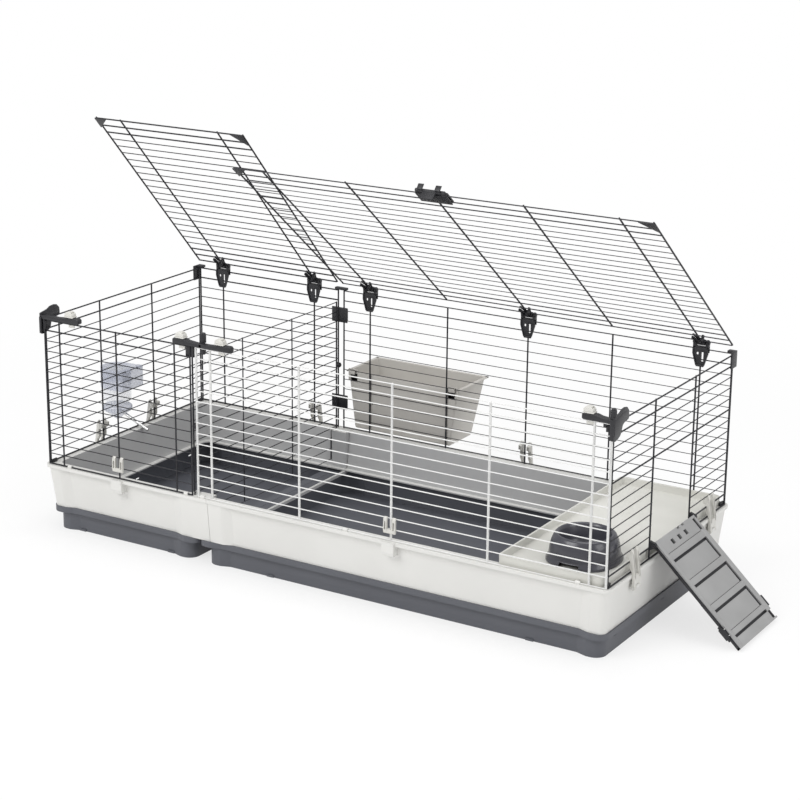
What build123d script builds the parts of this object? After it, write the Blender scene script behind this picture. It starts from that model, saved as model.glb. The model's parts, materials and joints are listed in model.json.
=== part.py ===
from build123d import *
import math
import os

os.makedirs("parts", exist_ok=True)

# Overall size of the cage with its roofs shut, in millimetres. The origin is on
# the floor under the middle of the base. X runs along it, Y to the back, Z up.
cage_length = 1420
cage_depth = 600
small_length = 420
rim_height = 155
wall_height = 340

# Plastic walls, and the gaps between pieces that move past each other
wall = 2.5
slip_gap = 0.3
bore_gap = 0.08

# Trays
tray_floor = 3
tray_height = 55
tray_lip_height = 13
tray_lip_inset = 9
tray_body_inset = 20
tray_end_gap = 20
tray_radius = 24
tray_foot = 5
seam_gap = 1

# White surrounds, upside-down channels that sit on the trays
skirt_inset = 13
lip_height = 7
lip_overhang = 4
rim_inset = 24
splash_inset = 36
ledge_inset = 48
ledge_rise = 7
ledge_wall = 3
rim_radius = 16
surround_lap = 34
joint_block_length = 55
joint_block_proud = 4

# Long sides are sunk between columns
column_length = 34
lap_column_length = 74
column_blend = 24
recess = 8
blend_radius = 14

# Wire walls: level rows welded to uprights
row_wire = 2.4
upright_wire = 4
wire_depth = 3.2
wall_inset = 8
row_spaces = 14
roof_spaces = 22
corner_gap = 14
post_gap = 16
end_upright = 97
back_upright_pitch = 209
door_upright_pitch = 227
small_back_upright = 133
small_door_upright = 159
door_rod = 1.6

# Divider between the two modules
divider_shift = 8
divider_top = 468
divider_foot = 81
divider_step = 134
divider_low_half = 262
divider_half = 285
knob_radius = 6
knob_height = 313
panel_foot = 5

# Roofs, shown open
hinge_rise = 13
roof_reach = 560
roof_start = 8
left_roof_angle = 47
right_roof_angle = 38.6
roof_cap = 34
roof_cap_thickness = 2.5

# Roof hinges
hinge_width = 36
hinge_foot = 24
hinge_drop = 43
hinge_plate = 3.4
hinge_ear = 7
hinge_knuckle = 5
pin_radius = 2.5
arm_reach = 30
arm_thickness = 3

# Corner brackets and their sliding latches
bracket_height = 13
bracket_front = 7
bracket_back = 8
bracket_plate = 4
bracket_drop = 33
tongue_width = 16
tongue_thickness = 3
tongue_drop = 11
button_width = 22
button_height = 14
latch_travel = 8

# Wall clips that pivot on the surround
clip_pivot_height = 127
clip_pivot_out = 3
clip_pin = 2
clip_boss = 5
clip_lug = 12
clip_ear = 8
clip_top = 208

# Ramp, which is the door of the end wall
doorway_sill_row = 1
doorway_head_row = 9
ramp_slope = 43
ramp_axis_out = 10
ramp_axis_height = 187
ramp_width = 190
ramp_thickness = 12
ramp_rail = 6
ramp_pin = 3
ramp_pin_length = 8
ramp_lug = 7
tread_thickness = 3
tread_bar = 4
floor_gap = 0.5

# Things in and on the cage
platform_low_x = 455
platform_rim = 20
platform_clearance = 6
bowl_x = 593
bowl_y = -170
bowl_size = 150
bowl_height = 57
bowl_mouth = 52
bin_low_x = -271
bin_high_x = 28
bin_taper = 18
bin_depth = 132
bin_bottom = 160
bin_top = 300
bottle_x = -752
bottle_y = 20
bottle_radius = 34
spout_radius = 4

left_x = -cage_length / 2
right_x = cage_length / 2
half_depth = cage_depth / 2
seam_x = left_x + small_length
lap_x = seam_x + surround_lap
wall_top = rim_height + wall_height
skirt_height = tray_height
ledge_height = tray_height + ledge_rise
wall_x = right_x - wall_inset
wall_y = half_depth - wall_inset
half_wire = wire_depth / 2
bottom_row = rim_height + upright_wire / 2
top_row = wall_top - upright_wire / 2
row_pitch = (top_row - bottom_row) / row_spaces
wall_rows = [bottom_row + row_pitch * k for k in range(row_spaces + 1)]
small_low = left_x + wall_inset + upright_wire / 2
small_high = seam_x - post_gap / 2
large_low = seam_x + post_gap / 2
large_high = -small_low
small_middle = (small_low + small_high) / 2
large_middle = (large_low + large_high) / 2
end_half = half_depth - corner_gap
divider_x = seam_x - divider_shift
hinge_z = wall_top + hinge_rise
small_back_uprights = [
    small_low,
    small_middle - small_back_upright,
    small_middle + small_back_upright,
    small_high,
]
large_back_uprights = (
    [large_low] + [large_middle + back_upright_pitch * k for k in range(-2, 3)] + [large_high]
)
small_hinges = small_back_uprights[1:3]
large_hinges = [large_back_uprights[k] for k in (1, 3, 5)]
up = Vector(0, 0, 1)


def save(piece, name):
    piece.part.label = name
    export_step(piece.part, "parts/" + name + ".step")


def outline(points, corners):
    # A closed outline whose corners are rounded by the radius each one asks for.
    with BuildLine() as path:
        Polyline(*points, close=True)
    make_face(path.edges())
    for radius in sorted(set(corners) - {0}):
        chosen = [
            v
            for v in vertices()
            if any(r == radius and (v.X - x) ** 2 + (v.Y - y) ** 2 < 1e-4
                   for (x, y), r in zip(points, corners))
        ]
        fillet(chosen, radius)


def module_outline(end_x, open_x, inset, open_column=0.0, depth=0.0, trim=0.0):
    # One module seen from above, square where it meets its neighbour.
    side = 1 if open_x > end_x else -1
    outer = end_x + side * inset
    half = half_depth - inset
    round_end = rim_radius - trim
    if depth == 0:
        points = [(open_x, -half), (outer, -half), (outer, half), (open_x, half)]
        outline(points, [0, round_end, round_end, 0])
        return
    first = outer + side * column_length
    last = open_x - side * open_column
    shift = side * column_blend
    front = [
        (open_x, -half),
        (last, -half),
        (last - shift, -half + depth),
        (first + shift, -half + depth),
        (first, -half),
        (outer, -half),
    ]
    radii = [0, blend_radius, blend_radius, blend_radius, blend_radius, round_end]
    back = [(x, -y) for x, y in reversed(front)]
    outline(front + back, radii + radii[::-1])


def tray_outline(low_x, high_x, half, radius):
    # A tray seen from above, with both long sides sunk between its columns.
    first = low_x + column_length
    last = high_x - column_length
    front = [
        (low_x, -half),
        (first, -half),
        (first + column_blend, -half + recess),
        (last - column_blend, -half + recess),
        (last, -half),
        (high_x, -half),
    ]
    radii = [radius, blend_radius, blend_radius, blend_radius, blend_radius, radius]
    back = [(x, -y) for x, y in reversed(front)]
    outline(front + back, radii + radii[::-1])


def block(low, high, mode=Mode.ADD):
    # A box between two opposite corners.
    with Locations(tuple((a + b) / 2 for a, b in zip(low, high))):
        Box(*(b - a for a, b in zip(low, high)), mode=mode)


def prism(plane, points, low, high, mode=Mode.ADD):
    # An outline pushed out between two distances along its plane's normal.
    with BuildSketch(plane.offset(low)) as section:
        with BuildLine():
            Polyline(*points, close=True)
        make_face()
    extrude(section.sketch, amount=high - low, mode=mode)


def rod(plane, point, radius, low, high, mode=Mode.ADD):
    # A round bar between two distances along a plane's normal.
    with BuildSketch(plane.offset(low)) as section:
        with Locations(point):
            Circle(radius)
    extrude(section.sketch, amount=high - low, mode=mode)


def grille(rows, uprights):
    # Welded wires in one plane, drawn as a plate with a hole between each pair.
    with Locations(((uprights[0] + uprights[-1]) / 2, (rows[0] + rows[-1]) / 2)):
        Rectangle(uprights[-1] - uprights[0] + upright_wire, rows[-1] - rows[0] + upright_wire)
    for a, b in zip(uprights, uprights[1:]):
        holes = [((a + b) / 2, (c + d) / 2) for c, d in zip(rows, rows[1:])]
        with Locations(*holes):
            Rectangle(b - a - upright_wire, rows[1] - rows[0] - row_wire, mode=Mode.SUBTRACT)


# Trays
def make_tray(name, lip_low, lip_high, body_low, body_high, slot_x):
    lip_half = half_depth - tray_lip_inset
    body_half = half_depth - tray_body_inset
    lip_z = tray_height - tray_lip_height
    with BuildPart() as tray:
        with BuildSketch(Plane.XY.offset(lip_z)):
            tray_outline(lip_low, lip_high, lip_half, tray_radius)
        extrude(amount=tray_lip_height)
        with BuildSketch(Plane.XY.offset(lip_z)):
            tray_outline(lip_low + wall, lip_high - wall, lip_half - wall, tray_radius - wall)
        extrude(amount=tray_lip_height - wall, mode=Mode.SUBTRACT)
        with BuildSketch():
            tray_outline(body_low, body_high, body_half, tray_radius)
        extrude(amount=tray_height)
        with BuildSketch(Plane.XY.offset(tray_floor)):
            tray_outline(body_low + wall, body_high - wall, body_half - wall, tray_radius - wall)
        extrude(amount=tray_height, mode=Mode.SUBTRACT)
        # Slots in the end wall, and small feet that stand out under the long sides
        for y in (-217, 8, 217):
            block((slot_x - 2 * wall, y - 7, 30), (slot_x + 2 * wall, y + 7, 34), Mode.SUBTRACT)
        foot_y = body_half - recess - tray_foot / 2
        for share in (0.17, 0.83):
            foot_x = body_low + (body_high - body_low) * share
            for y in (-foot_y, foot_y):
                block((foot_x - 9, y - tray_foot, 0), (foot_x + 9, y + tray_foot, tray_foot))
    save(tray, name)


make_tray(
    "small_tray",
    left_x + tray_lip_inset,
    seam_x - seam_gap / 2,
    left_x + tray_body_inset,
    seam_x - tray_end_gap,
    left_x + tray_body_inset,
)
make_tray(
    "large_tray",
    seam_x + seam_gap / 2,
    right_x - tray_lip_inset,
    seam_x + tray_end_gap,
    right_x - tray_body_inset,
    right_x - tray_body_inset,
)


# Walls of the base seen in section: X is the distance outside the rim, Y is up
def rim_section(outward, along):
    across = Vector(outward[0], outward[1], 0)
    if outward[0]:
        origin = (outward[0] * right_x, along, 0)
    else:
        origin = (along, outward[1] * half_depth, 0)
    return Plane(origin=origin, x_dir=across, z_dir=across.cross(up))


left_clips = [-end_upright, end_upright]
right_clips = [-180, 196]
small_clip_x = small_back_uprights[2]
large_clip_x = large_middle
ear_low = clip_lug / 2 + slip_gap
ear_high = ear_low + clip_ear
skirt_slope = (skirt_inset - lip_overhang) / (rim_height - lip_height - skirt_height)
pivot_drop = rim_height - lip_height - clip_pivot_height
pivot_inset = lip_overhang + skirt_slope * pivot_drop


def clip_pivot(plane, depth):
    # A lug on the skirt, with a pin through it for the clip's two ears.
    root = -pivot_inset - depth - wall / 2
    low = clip_pivot_height - clip_boss
    high = clip_pivot_height + clip_boss
    centre = (clip_pivot_out, clip_pivot_height)
    points = [(root, low), (centre[0], low), (centre[0], high), (root, high)]
    prism(plane, points, -clip_lug / 2, clip_lug / 2)
    rod(plane, centre, clip_boss, -clip_lug / 2, clip_lug / 2)
    rod(plane, centre, clip_pin, -ear_high, ear_high)


def door_loop(x):
    # A loop on the rim, round the bottom wire of a front door.
    plane = Plane(origin=(x, -wall_y, bottom_row), x_dir=(0, 1, 0), z_dir=(1, 0, 0))
    half = door_rod + wall
    points = [(-half, -bottom_row + rim_height - wall), (half, -bottom_row + rim_height - wall),
              (half, 0), (-half, 0)]
    prism(plane, points, -5, 5)
    rod(plane, (0, 0), half, -5, 5)
    rod(plane, (0, 0), door_rod + bore_gap, -6, 6, Mode.SUBTRACT)


foot_low = clip_pivot_height - 2
foot_out = 6


def door_foot(x):
    # The fixed lower half of a front clip, moulded on the rim.
    root = -pivot_inset - recess - wall / 2
    points = [(root, foot_low), (foot_out - 3, foot_low), (foot_out, foot_low + 8),
              (foot_out, rim_height), (-wall, rim_height), (-wall, rim_height - lip_height),
              (root, rim_height - lip_height - 2)]
    prism(rim_section((0, -1), x), points, -ear_high, ear_high)


def make_surround(name, end_x, open_x, open_column):
    side = 1 if open_x > end_x else -1
    lip_z = rim_height - lip_height
    past_x = open_x + side * wall
    web_x = open_x - side * wall
    with BuildPart() as surround:
        with BuildSketch(Plane.XY.offset(skirt_height)):
            module_outline(end_x, open_x, skirt_inset, open_column, recess)
        with BuildSketch(Plane.XY.offset(lip_z)):
            module_outline(end_x, open_x, lip_overhang, open_column, recess)
        loft(ruled=True)
        with BuildSketch(Plane.XY.offset(lip_z)):
            module_outline(end_x, open_x, 0)
        extrude(amount=lip_height)
        # The hollow underneath ends in a web where the modules meet
        with BuildSketch(Plane.XY.offset(skirt_height)):
            module_outline(end_x, web_x, skirt_inset + wall, open_column, recess, wall)
        with BuildSketch(Plane.XY.offset(rim_height - wall)):
            module_outline(end_x, web_x, lip_overhang + wall, open_column, recess, wall)
        loft(ruled=True, mode=Mode.SUBTRACT)
        # Sloping splash wall inside, down to a ledge on the tray
        with BuildSketch(Plane.XY.offset(ledge_height)):
            module_outline(end_x, open_x, splash_inset - wall)
        with BuildSketch(Plane.XY.offset(rim_height - wall)):
            module_outline(end_x, open_x, rim_inset - wall)
        loft(ruled=True)
        with BuildSketch(Plane.XY.offset(ledge_height + ledge_wall)):
            module_outline(end_x, past_x, splash_inset)
        with BuildSketch(Plane.XY.offset(rim_height)):
            module_outline(end_x, past_x, rim_inset)
        loft(ruled=True, mode=Mode.SUBTRACT)
        with BuildSketch(Plane.XY.offset(ledge_height)):
            module_outline(end_x, past_x, ledge_inset)
        extrude(amount=ledge_wall, mode=Mode.SUBTRACT)
        if side > 0:
            # Blocks at the joint, slotted for the divider
            inner = half_depth - splash_inset - joint_block_proud
            slot = half_wire + slip_gap
            for s in (-1, 1):
                block(
                    (open_x - joint_block_length, min(s * inner, s * (half_depth - rim_inset)), ledge_height),
                    (open_x, max(s * inner, s * (half_depth - rim_inset)), rim_height),
                )
                deep = s * (divider_low_half + slip_gap)
                block(
                    (divider_x - slot, min(s * (inner - wall), deep), divider_foot - slip_gap),
                    (divider_x + slot, max(s * (inner - wall), deep), rim_height + wall),
                    Mode.SUBTRACT,
                )
                wide = s * (divider_half + slip_gap)
                block(
                    (divider_x - slot, min(s * (inner - wall), wide), divider_step),
                    (divider_x + slot, max(s * (inner - wall), wide), rim_height + wall),
                    Mode.SUBTRACT,
                )
            for y in left_clips:
                clip_pivot(rim_section((-1, 0), y), 0)
            clip_pivot(rim_section((0, 1), small_clip_x), recess)
            door_foot(small_middle)
            for x in (small_low + 60, small_high - 16, large_low + 12):
                door_loop(x)
        else:
            for y in right_clips:
                clip_pivot(rim_section((1, 0), y), 0)
            clip_pivot(rim_section((0, 1), large_clip_x), recess)
            door_foot(large_clip_x)
            for x in (large_middle - 110, large_high - 60):
                door_loop(x)
    save(surround, name)


make_surround("small_surround", left_x, lap_x - seam_gap / 2, lap_column_length)
make_surround("large_surround", right_x, lap_x + seam_gap / 2, column_length)


# Fixed wire walls
def standing(outward, distance):
    # A plane along a wall, its local X level, its local Y up.
    normal = Vector(outward[0], outward[1], 0)
    return Plane(origin=normal * distance, x_dir=up.cross(normal), z_dir=normal)


end_uprights = [-end_half, -end_upright, end_upright, end_half]
with BuildPart() as left_end_panel:
    with BuildSketch(standing((-1, 0), wall_x)):
        grille(wall_rows, end_uprights)
    extrude(amount=half_wire, both=True)
save(left_end_panel, "left_end_panel")

doorway_sill = wall_rows[doorway_sill_row]
doorway_head = wall_rows[doorway_head_row]
with BuildPart() as right_end_panel:
    with BuildSketch(standing((1, 0), wall_x)):
        grille(wall_rows, end_uprights)
        with Locations((0, (doorway_sill + doorway_head) / 2)):
            Rectangle(
                2 * end_upright - upright_wire,
                doorway_head - doorway_sill - row_wire,
                mode=Mode.SUBTRACT,
            )
    extrude(amount=half_wire, both=True)
save(right_end_panel, "right_end_panel")

for name, uprights in (
    ("small_back_panel", small_back_uprights),
    ("large_back_panel", large_back_uprights),
):
    with BuildPart() as back_panel:
        with BuildSketch(standing((0, 1), wall_y)):
            grille(wall_rows, [-x for x in reversed(uprights)])
        extrude(amount=half_wire, both=True)
    save(back_panel, name)

low_rows = 2
low_pitch = (divider_step - divider_foot) / low_rows
high_rows = round((divider_top - divider_step) / row_pitch)
high_low = divider_step + upright_wire / 2
high_high = divider_top - upright_wire / 2
high_pitch = (high_high - high_low) / high_rows
with BuildPart() as divider_panel:
    with BuildSketch(standing((-1, 0), -divider_x)):
        outer = divider_low_half - upright_wire / 2
        rows = [divider_foot + upright_wire / 2 + low_pitch * k for k in range(low_rows + 1)]
        grille(rows, [-outer, -end_upright, end_upright, outer])
        outer = divider_half - upright_wire / 2
        rows = [high_low + high_pitch * k for k in range(high_rows + 1)]
        grille(rows, [-outer, -end_upright, end_upright, outer])
    extrude(amount=half_wire, both=True)
save(divider_panel, "divider_panel")

knob_y = divider_half - upright_wire / 2
with BuildPart() as divider_knobs:
    for y in (-knob_y, knob_y):
        plane = Plane(origin=(divider_x + half_wire, y, knob_height), x_dir=(0, 1, 0), z_dir=(1, 0, 0))
        rod(plane, (0, 0), knob_radius, 0, 8)
        rod(plane, (0, 0), knob_radius - 2, 8, 10)
save(divider_knobs, "divider_knobs")


# Front doors, hinged on their bottom wires
def make_door(name, uprights):
    with BuildPart() as door:
        with BuildSketch(standing((0, -1), wall_y)):
            grille(wall_rows, uprights)
            with Locations(((uprights[0] + uprights[-1]) / 2, rim_height)):
                Rectangle(uprights[-1] - uprights[0] + 2 * upright_wire, 2 * upright_wire, mode=Mode.SUBTRACT)
        extrude(amount=half_wire, both=True)
        low = uprights[0] - upright_wire / 2
        high = uprights[-1] + upright_wire / 2
        rod(Plane.YZ, (-wall_y, bottom_row), door_rod, low, high)
        for x in uprights:
            block(
                (x - upright_wire / 2, -wall_y - door_rod, bottom_row),
                (x + upright_wire / 2, -wall_y + door_rod, rim_height + 2 * upright_wire),
            )
    save(door, name)


make_door(
    "small_front_door",
    [
        small_low,
        small_middle - small_door_upright,
        small_middle,
        small_middle + small_door_upright,
        small_high,
    ],
)
make_door(
    "large_front_door",
    [large_low] + [large_middle + door_upright_pitch * k for k in range(-2, 3)] + [large_high],
)

ears_low = rim_height + 18
wire_out = -wall_inset + half_wire
for name, x in (("small_door_ears", small_middle), ("large_door_ears", large_clip_x)):
    plane = rim_section((0, -1), x)
    points = [
        (wire_out, ears_low),
        (-1, ears_low),
        (0.5, ears_low + 10),
        (-1, clip_top - 4),
        (wire_out + 2, clip_top),
        (wire_out, clip_top),
    ]
    bridge = [
        (wire_out, ears_low),
        (-1, ears_low),
        (-1, ears_low + 9),
        (wire_out, ears_low + 9),
    ]
    with BuildPart() as door_ears:
        prism(plane, points, -ear_high, -ear_low)
        prism(plane, points, ear_low, ear_high)
        prism(plane, bridge, -ear_high, ear_high)
    save(door_ears, name)


# Clips that pivot out from the base
def make_clip(name, plane):
    inner = slip_gap
    outer = clip_pivot_out + clip_boss - 1.5
    hook = wire_out + slip_gap
    nose = -wall_inset - half_wire - 5
    nose_low = wall_rows[1] + row_wire / 2 + 4
    nose_high = wall_rows[2] - row_wire / 2 - 4
    points = [
        (inner, clip_pivot_height),
        (inner, rim_height + 3),
        (hook, rim_height + 13),
        (hook, nose_low),
        (nose, nose_low + 3),
        (nose, nose_high),
        (hook, nose_high + 1),
        (hook + 2, clip_top),
        (inner - 1, clip_top - 5),
        (outer - 2, rim_height + 12),
        (outer, rim_height),
        (outer, clip_pivot_height),
    ]
    bridge = [
        (inner, clip_pivot_height + clip_boss + 2),
        (inner, rim_height - 2),
        (outer, rim_height - 2),
        (outer, clip_pivot_height + clip_boss + 2),
    ]
    centre = (clip_pivot_out, clip_pivot_height)
    with BuildPart() as clip:
        for low, high in ((-ear_high, -ear_low), (ear_low, ear_high)):
            prism(plane, points, low, high)
            rod(plane, centre, clip_boss, low, high)
            rod(plane, centre, clip_pin + bore_gap, low - 1, high + 1, Mode.SUBTRACT)
        prism(plane, bridge, -ear_high, ear_high)
    save(clip, name)


make_clip("clip_left_front", rim_section((-1, 0), left_clips[0]))
make_clip("clip_left_back", rim_section((-1, 0), left_clips[1]))
make_clip("clip_right_front", rim_section((1, 0), right_clips[0]))
make_clip("clip_right_back", rim_section((1, 0), right_clips[1]))
make_clip("clip_back_small", rim_section((0, 1), small_clip_x))
make_clip("clip_back_large", rim_section((0, 1), large_clip_x))


# Roofs, drawn in their own plane: X along the hinge, Y out from the hinge line
def roof_plane(angle):
    a = math.radians(angle)
    return Plane(
        origin=(0, wall_y, hinge_z), x_dir=(1, 0, 0), z_dir=(0, -math.sin(a), -math.cos(a))
    )


left_roof_plane = roof_plane(left_roof_angle)
right_roof_plane = roof_plane(right_roof_angle)
roof_low = roof_start + upright_wire / 2
roof_high = roof_reach - upright_wire / 2
roof_rows = [roof_low + (roof_high - roof_low) * k / roof_spaces for k in range(roof_spaces + 1)]

ear_gap = hinge_width / 2 - hinge_ear
knuckle_half = ear_gap - slip_gap
for side_name, plane, uprights, hinges in (
    ("left", left_roof_plane, small_back_uprights, small_hinges),
    ("right", right_roof_plane, large_back_uprights, large_hinges),
):
    with BuildPart() as roof:
        with BuildSketch(plane):
            grille(roof_rows, uprights)
        extrude(amount=half_wire, both=True)
    save(roof, side_name + "_roof")

    # Corner caps under the free corners
    with BuildPart() as caps:
        for x, s in ((uprights[0], 1), (uprights[-1], -1)):
            edge = x - s * upright_wire / 2
            points = [(edge, roof_reach), (edge + s * roof_cap, roof_reach), (edge, roof_reach - roof_cap)]
            prism(plane, points, half_wire, half_wire + roof_cap_thickness)
    save(caps, side_name + "_roof_caps")

    # Clamps round the first wires, each with its knuckle and pin
    with BuildPart() as clamps:
        for x in hinges:
            side = Plane(origin=plane.origin + Vector(x, 0, 0), x_dir=plane.y_dir, z_dir=(1, 0, 0))
            grip = half_wire + arm_thickness
            rod(side, (0, 0), hinge_knuckle, -knuckle_half, knuckle_half)
            for s in (-1, 1):
                points = [(0, s * half_wire), (arm_reach, s * half_wire), (arm_reach, s * grip), (0, s * grip)]
                prism(side, points, -knuckle_half, knuckle_half)
            rod(side, (0, 0), pin_radius, -hinge_width / 2, hinge_width / 2)
    save(clamps, side_name + "_roof_clamps")

# Lower halves of the hinges, hooked over the top wire of the back walls
with BuildPart() as hinge_clips:
    inner = wall_y - half_wire - hinge_plate
    outer = wall_y + half_wire + hinge_plate
    saddle = wall_top + hinge_rise - hinge_knuckle - 4
    for x in small_hinges + large_hinges:
        plane = Plane(origin=(x, 0, 0), x_dir=(0, 1, 0), z_dir=(1, 0, 0))
        half = hinge_width / 2
        prism(plane, [(inner, wall_top), (outer, wall_top), (outer, saddle), (inner, saddle)], -half, half)
        lip = [(wall_y + half_wire, wall_top - 10), (outer, wall_top - 10), (outer, wall_top),
               (wall_y + half_wire, wall_top)]
        prism(plane, lip, -half, half)
        face = Plane(origin=(x, wall_y - half_wire, 0), x_dir=(1, 0, 0), z_dir=(0, -1, 0))
        foot = hinge_foot / 2
        low = wall_top - hinge_drop
        shield = [(-foot, low), (foot, low), (half, wall_top - 12), (half, wall_top), (-half, wall_top),
                  (-half, wall_top - 12)]
        prism(face, shield, 0, hinge_plate)
        for low_x, high_x in ((-half, -ear_gap), (ear_gap, half)):
            ear = [(wall_y - hinge_knuckle, saddle), (wall_y + hinge_knuckle, saddle),
                   (wall_y + hinge_knuckle, hinge_z), (wall_y - hinge_knuckle, hinge_z)]
            prism(plane, ear, low_x, high_x)
            rod(plane, (wall_y, hinge_z), hinge_knuckle, low_x, high_x)
        rod(plane, (wall_y, hinge_z), pin_radius + bore_gap, -half - 1, half + 1, Mode.SUBTRACT)
save(hinge_clips, "hinge_clips")

# Catch on the free edge of the large roof
latch_x = large_clip_x
latch_side = Plane(
    origin=right_roof_plane.origin + Vector(latch_x, 0, 0),
    x_dir=right_roof_plane.y_dir,
    z_dir=(1, 0, 0),
)
latch_pin_v = roof_reach + 8
latch_half = 37
lug_low = 27
with BuildPart() as roof_latch:
    for s in (-1, 1):
        low_w = s * half_wire
        high_w = s * (half_wire + arm_thickness)
        points = [(roof_reach - 32, low_w), (roof_reach + 2, low_w), (roof_reach + 2, high_w),
                  (roof_reach - 32, high_w)]
        prism(latch_side, points, -latch_half, latch_half)
    web = [(roof_reach, -half_wire), (roof_reach + 2, -half_wire), (roof_reach + 2, half_wire),
           (roof_reach, half_wire)]
    prism(latch_side, web, -latch_half, latch_half)
    for low_x, high_x in ((-lug_low - 7, -lug_low), (lug_low, lug_low + 7)):
        lug = [(roof_reach, -4), (latch_pin_v, -4), (latch_pin_v, 4), (roof_reach, 4)]
        prism(latch_side, lug, low_x, high_x)
        rod(latch_side, (latch_pin_v, 0), 4, low_x, high_x)
    rod(latch_side, (latch_pin_v, 0), clip_pin + bore_gap, -latch_half, latch_half, Mode.SUBTRACT)
save(roof_latch, "roof_latch")

with BuildPart() as roof_latch_tab:
    half = lug_low - slip_gap
    rod(latch_side, (latch_pin_v, 0), 4, -half, half)
    rod(latch_side, (latch_pin_v, 0), clip_pin, -half - 7, half + 7)
    claw = [(latch_pin_v, 2), (latch_pin_v + 10, 2), (latch_pin_v + 10, -10), (latch_pin_v + 7, -12),
            (latch_pin_v + 7, -1), (latch_pin_v, -1)]
    for low_x, high_x in ((-half, -half + 12), (half - 12, half)):
        prism(latch_side, claw, low_x, high_x)
    tab = [(latch_pin_v - 1, 2), (latch_pin_v + 3, 2), (latch_pin_v + 6, 20), (latch_pin_v + 3, 20)]
    prism(latch_side, tab, -15, 15)
save(roof_latch_tab, "roof_latch_tab")

# Brackets over the front corners, with sliding latches behind the doors' top wires
bracket_low = wall_top + slip_gap
bracket_high = bracket_low + bracket_height
front_y = -wall_y - bracket_front
back_y = -wall_y + bracket_back
tongue_front = -wall_y + half_wire + slip_gap
tongue_back = tongue_front + tongue_thickness
end_out = wall_x + half_wire


def bracket_arm(low_x, high_x, buttons):
    block((low_x, front_y, bracket_low), (high_x, back_y, bracket_high))
    for x in buttons:
        block(
            (x - tongue_width / 2 - slip_gap, tongue_front - slip_gap, bracket_low - 1),
            (x + tongue_width / 2 + slip_gap, tongue_back + slip_gap, bracket_high + 1),
            Mode.SUBTRACT,
        )


def bracket_wing(low_x, high_x):
    # A rounded side plate with a lobe to the back and a foot down the corner.
    low = wall_top - bracket_drop
    points = [
        (front_y, low),
        (-wall_y + 3, low - 3),
        (-wall_y + 18, low - 1),
        (-wall_y + 27, low + 9),
        (-wall_y + 31, low + 20),
        (-wall_y + 45, low + 27),
        (-wall_y + 58, low + 29),
        (-wall_y + 59, bracket_high),
        (-wall_y + 50, bracket_high + 8),
        (-wall_y + 35, bracket_high + 10),
        (-wall_y + 22, bracket_high + 7),
        (front_y, bracket_high),
    ]
    prism(Plane(origin=(0, 0, 0), x_dir=(0, 1, 0), z_dir=(1, 0, 0)), points, low_x, high_x)


peg_radius = 6
peg_rise = 17
small_buttons = [small_low + 76, small_high - 22]
large_buttons = [large_low + 66, large_high - 48]
with BuildPart() as bracket_front_left:
    bracket_arm(-end_out - bracket_plate, small_low + 100, small_buttons[:1])
    bracket_wing(-end_out - bracket_plate, -end_out)
save(bracket_front_left, "bracket_front_left")

with BuildPart() as bracket_front_middle:
    bracket_arm(small_high - 41, large_low + 91, [small_buttons[1], large_buttons[0]])
    block(
        (divider_x - 13, tongue_front, divider_top),
        (divider_x + 8, -divider_half + 6, bracket_high),
    )
    peg = (large_low + 14, tongue_front + peg_radius + slip_gap)
    rod(Plane.XY, peg, peg_radius, wall_top - peg_rise, bracket_high + peg_rise)
save(bracket_front_middle, "bracket_front_middle")

with BuildPart() as bracket_front_right:
    bracket_arm(large_high - 68, end_out + bracket_plate, large_buttons[1:])
    bracket_wing(end_out, end_out + bracket_plate)
    rod(Plane.XY, (wall_x, -wall_y), peg_radius, bracket_low, bracket_high + peg_rise)
save(bracket_front_right, "bracket_front_right")

for name, x in (
    ("latch_small_left", small_buttons[0]),
    ("latch_small_right", small_buttons[1]),
    ("latch_large_left", large_buttons[0]),
    ("latch_large_right", large_buttons[1]),
):
    with BuildPart() as latch:
        block(
            (x - tongue_width / 2, tongue_front, wall_top - tongue_drop),
            (x + tongue_width / 2, tongue_back, bracket_high + button_height),
        )
        block(
            (x - button_width / 2, front_y, bracket_high + slip_gap),
            (x + button_width / 2, back_y, bracket_high + button_height),
        )
        fillet(latch.edges().group_by(Axis.Z)[-1], 4)
    save(latch, name)

# Caps over the back corners and over the joint of the back walls
with BuildPart() as back_caps:
    for s in (-1, 1):
        low_x, high_x = sorted((s * (end_out + 4), s * (end_out - 14)))
        block((low_x, end_half - 2, wall_top), (high_x, wall_y + half_wire + 4, wall_top + 6))
        low_x, high_x = sorted((s * (end_out + 4), s * end_out))
        block((low_x, end_half - 16, wall_top - 30), (high_x, wall_y + half_wire + 4, wall_top + 6))
    block((small_high - 8, wall_y - half_wire - 3, wall_top), (large_low + 8, wall_y + half_wire + 4, wall_top + 6))
save(back_caps, "back_caps")

# Clips that tie the two back walls together at their posts
with BuildPart() as post_clips:
    post = upright_wire / 2
    for z in (220, 435):
        inner = wall_y - half_wire
        outer = wall_y + half_wire
        block((small_high - 16, inner - 3, z - 18), (large_low + 11, inner, z + 18))
        block((small_high + post + 2, inner, z - 15), (large_low - post - 2, outer, z + 15))
        block((small_high - 10, outer, z - 15), (large_low + 8, outer + 3, z + 15))
save(post_clips, "post_clips")

# Feet of the end walls, on the corners of the rim
with BuildPart() as panel_feet:
    for sx in (-1, 1):
        for sy in (-1, 1):
            low_x, high_x = sorted((sx * (wall_x - half_wire - panel_foot), sx * (wall_x - half_wire)))
            low_y, high_y = sorted((sy * (end_half - 16), sy * (end_half + 2)))
            block((low_x, low_y, rim_height), (high_x, high_y, rim_height + 8))
save(panel_feet, "panel_feet")

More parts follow.
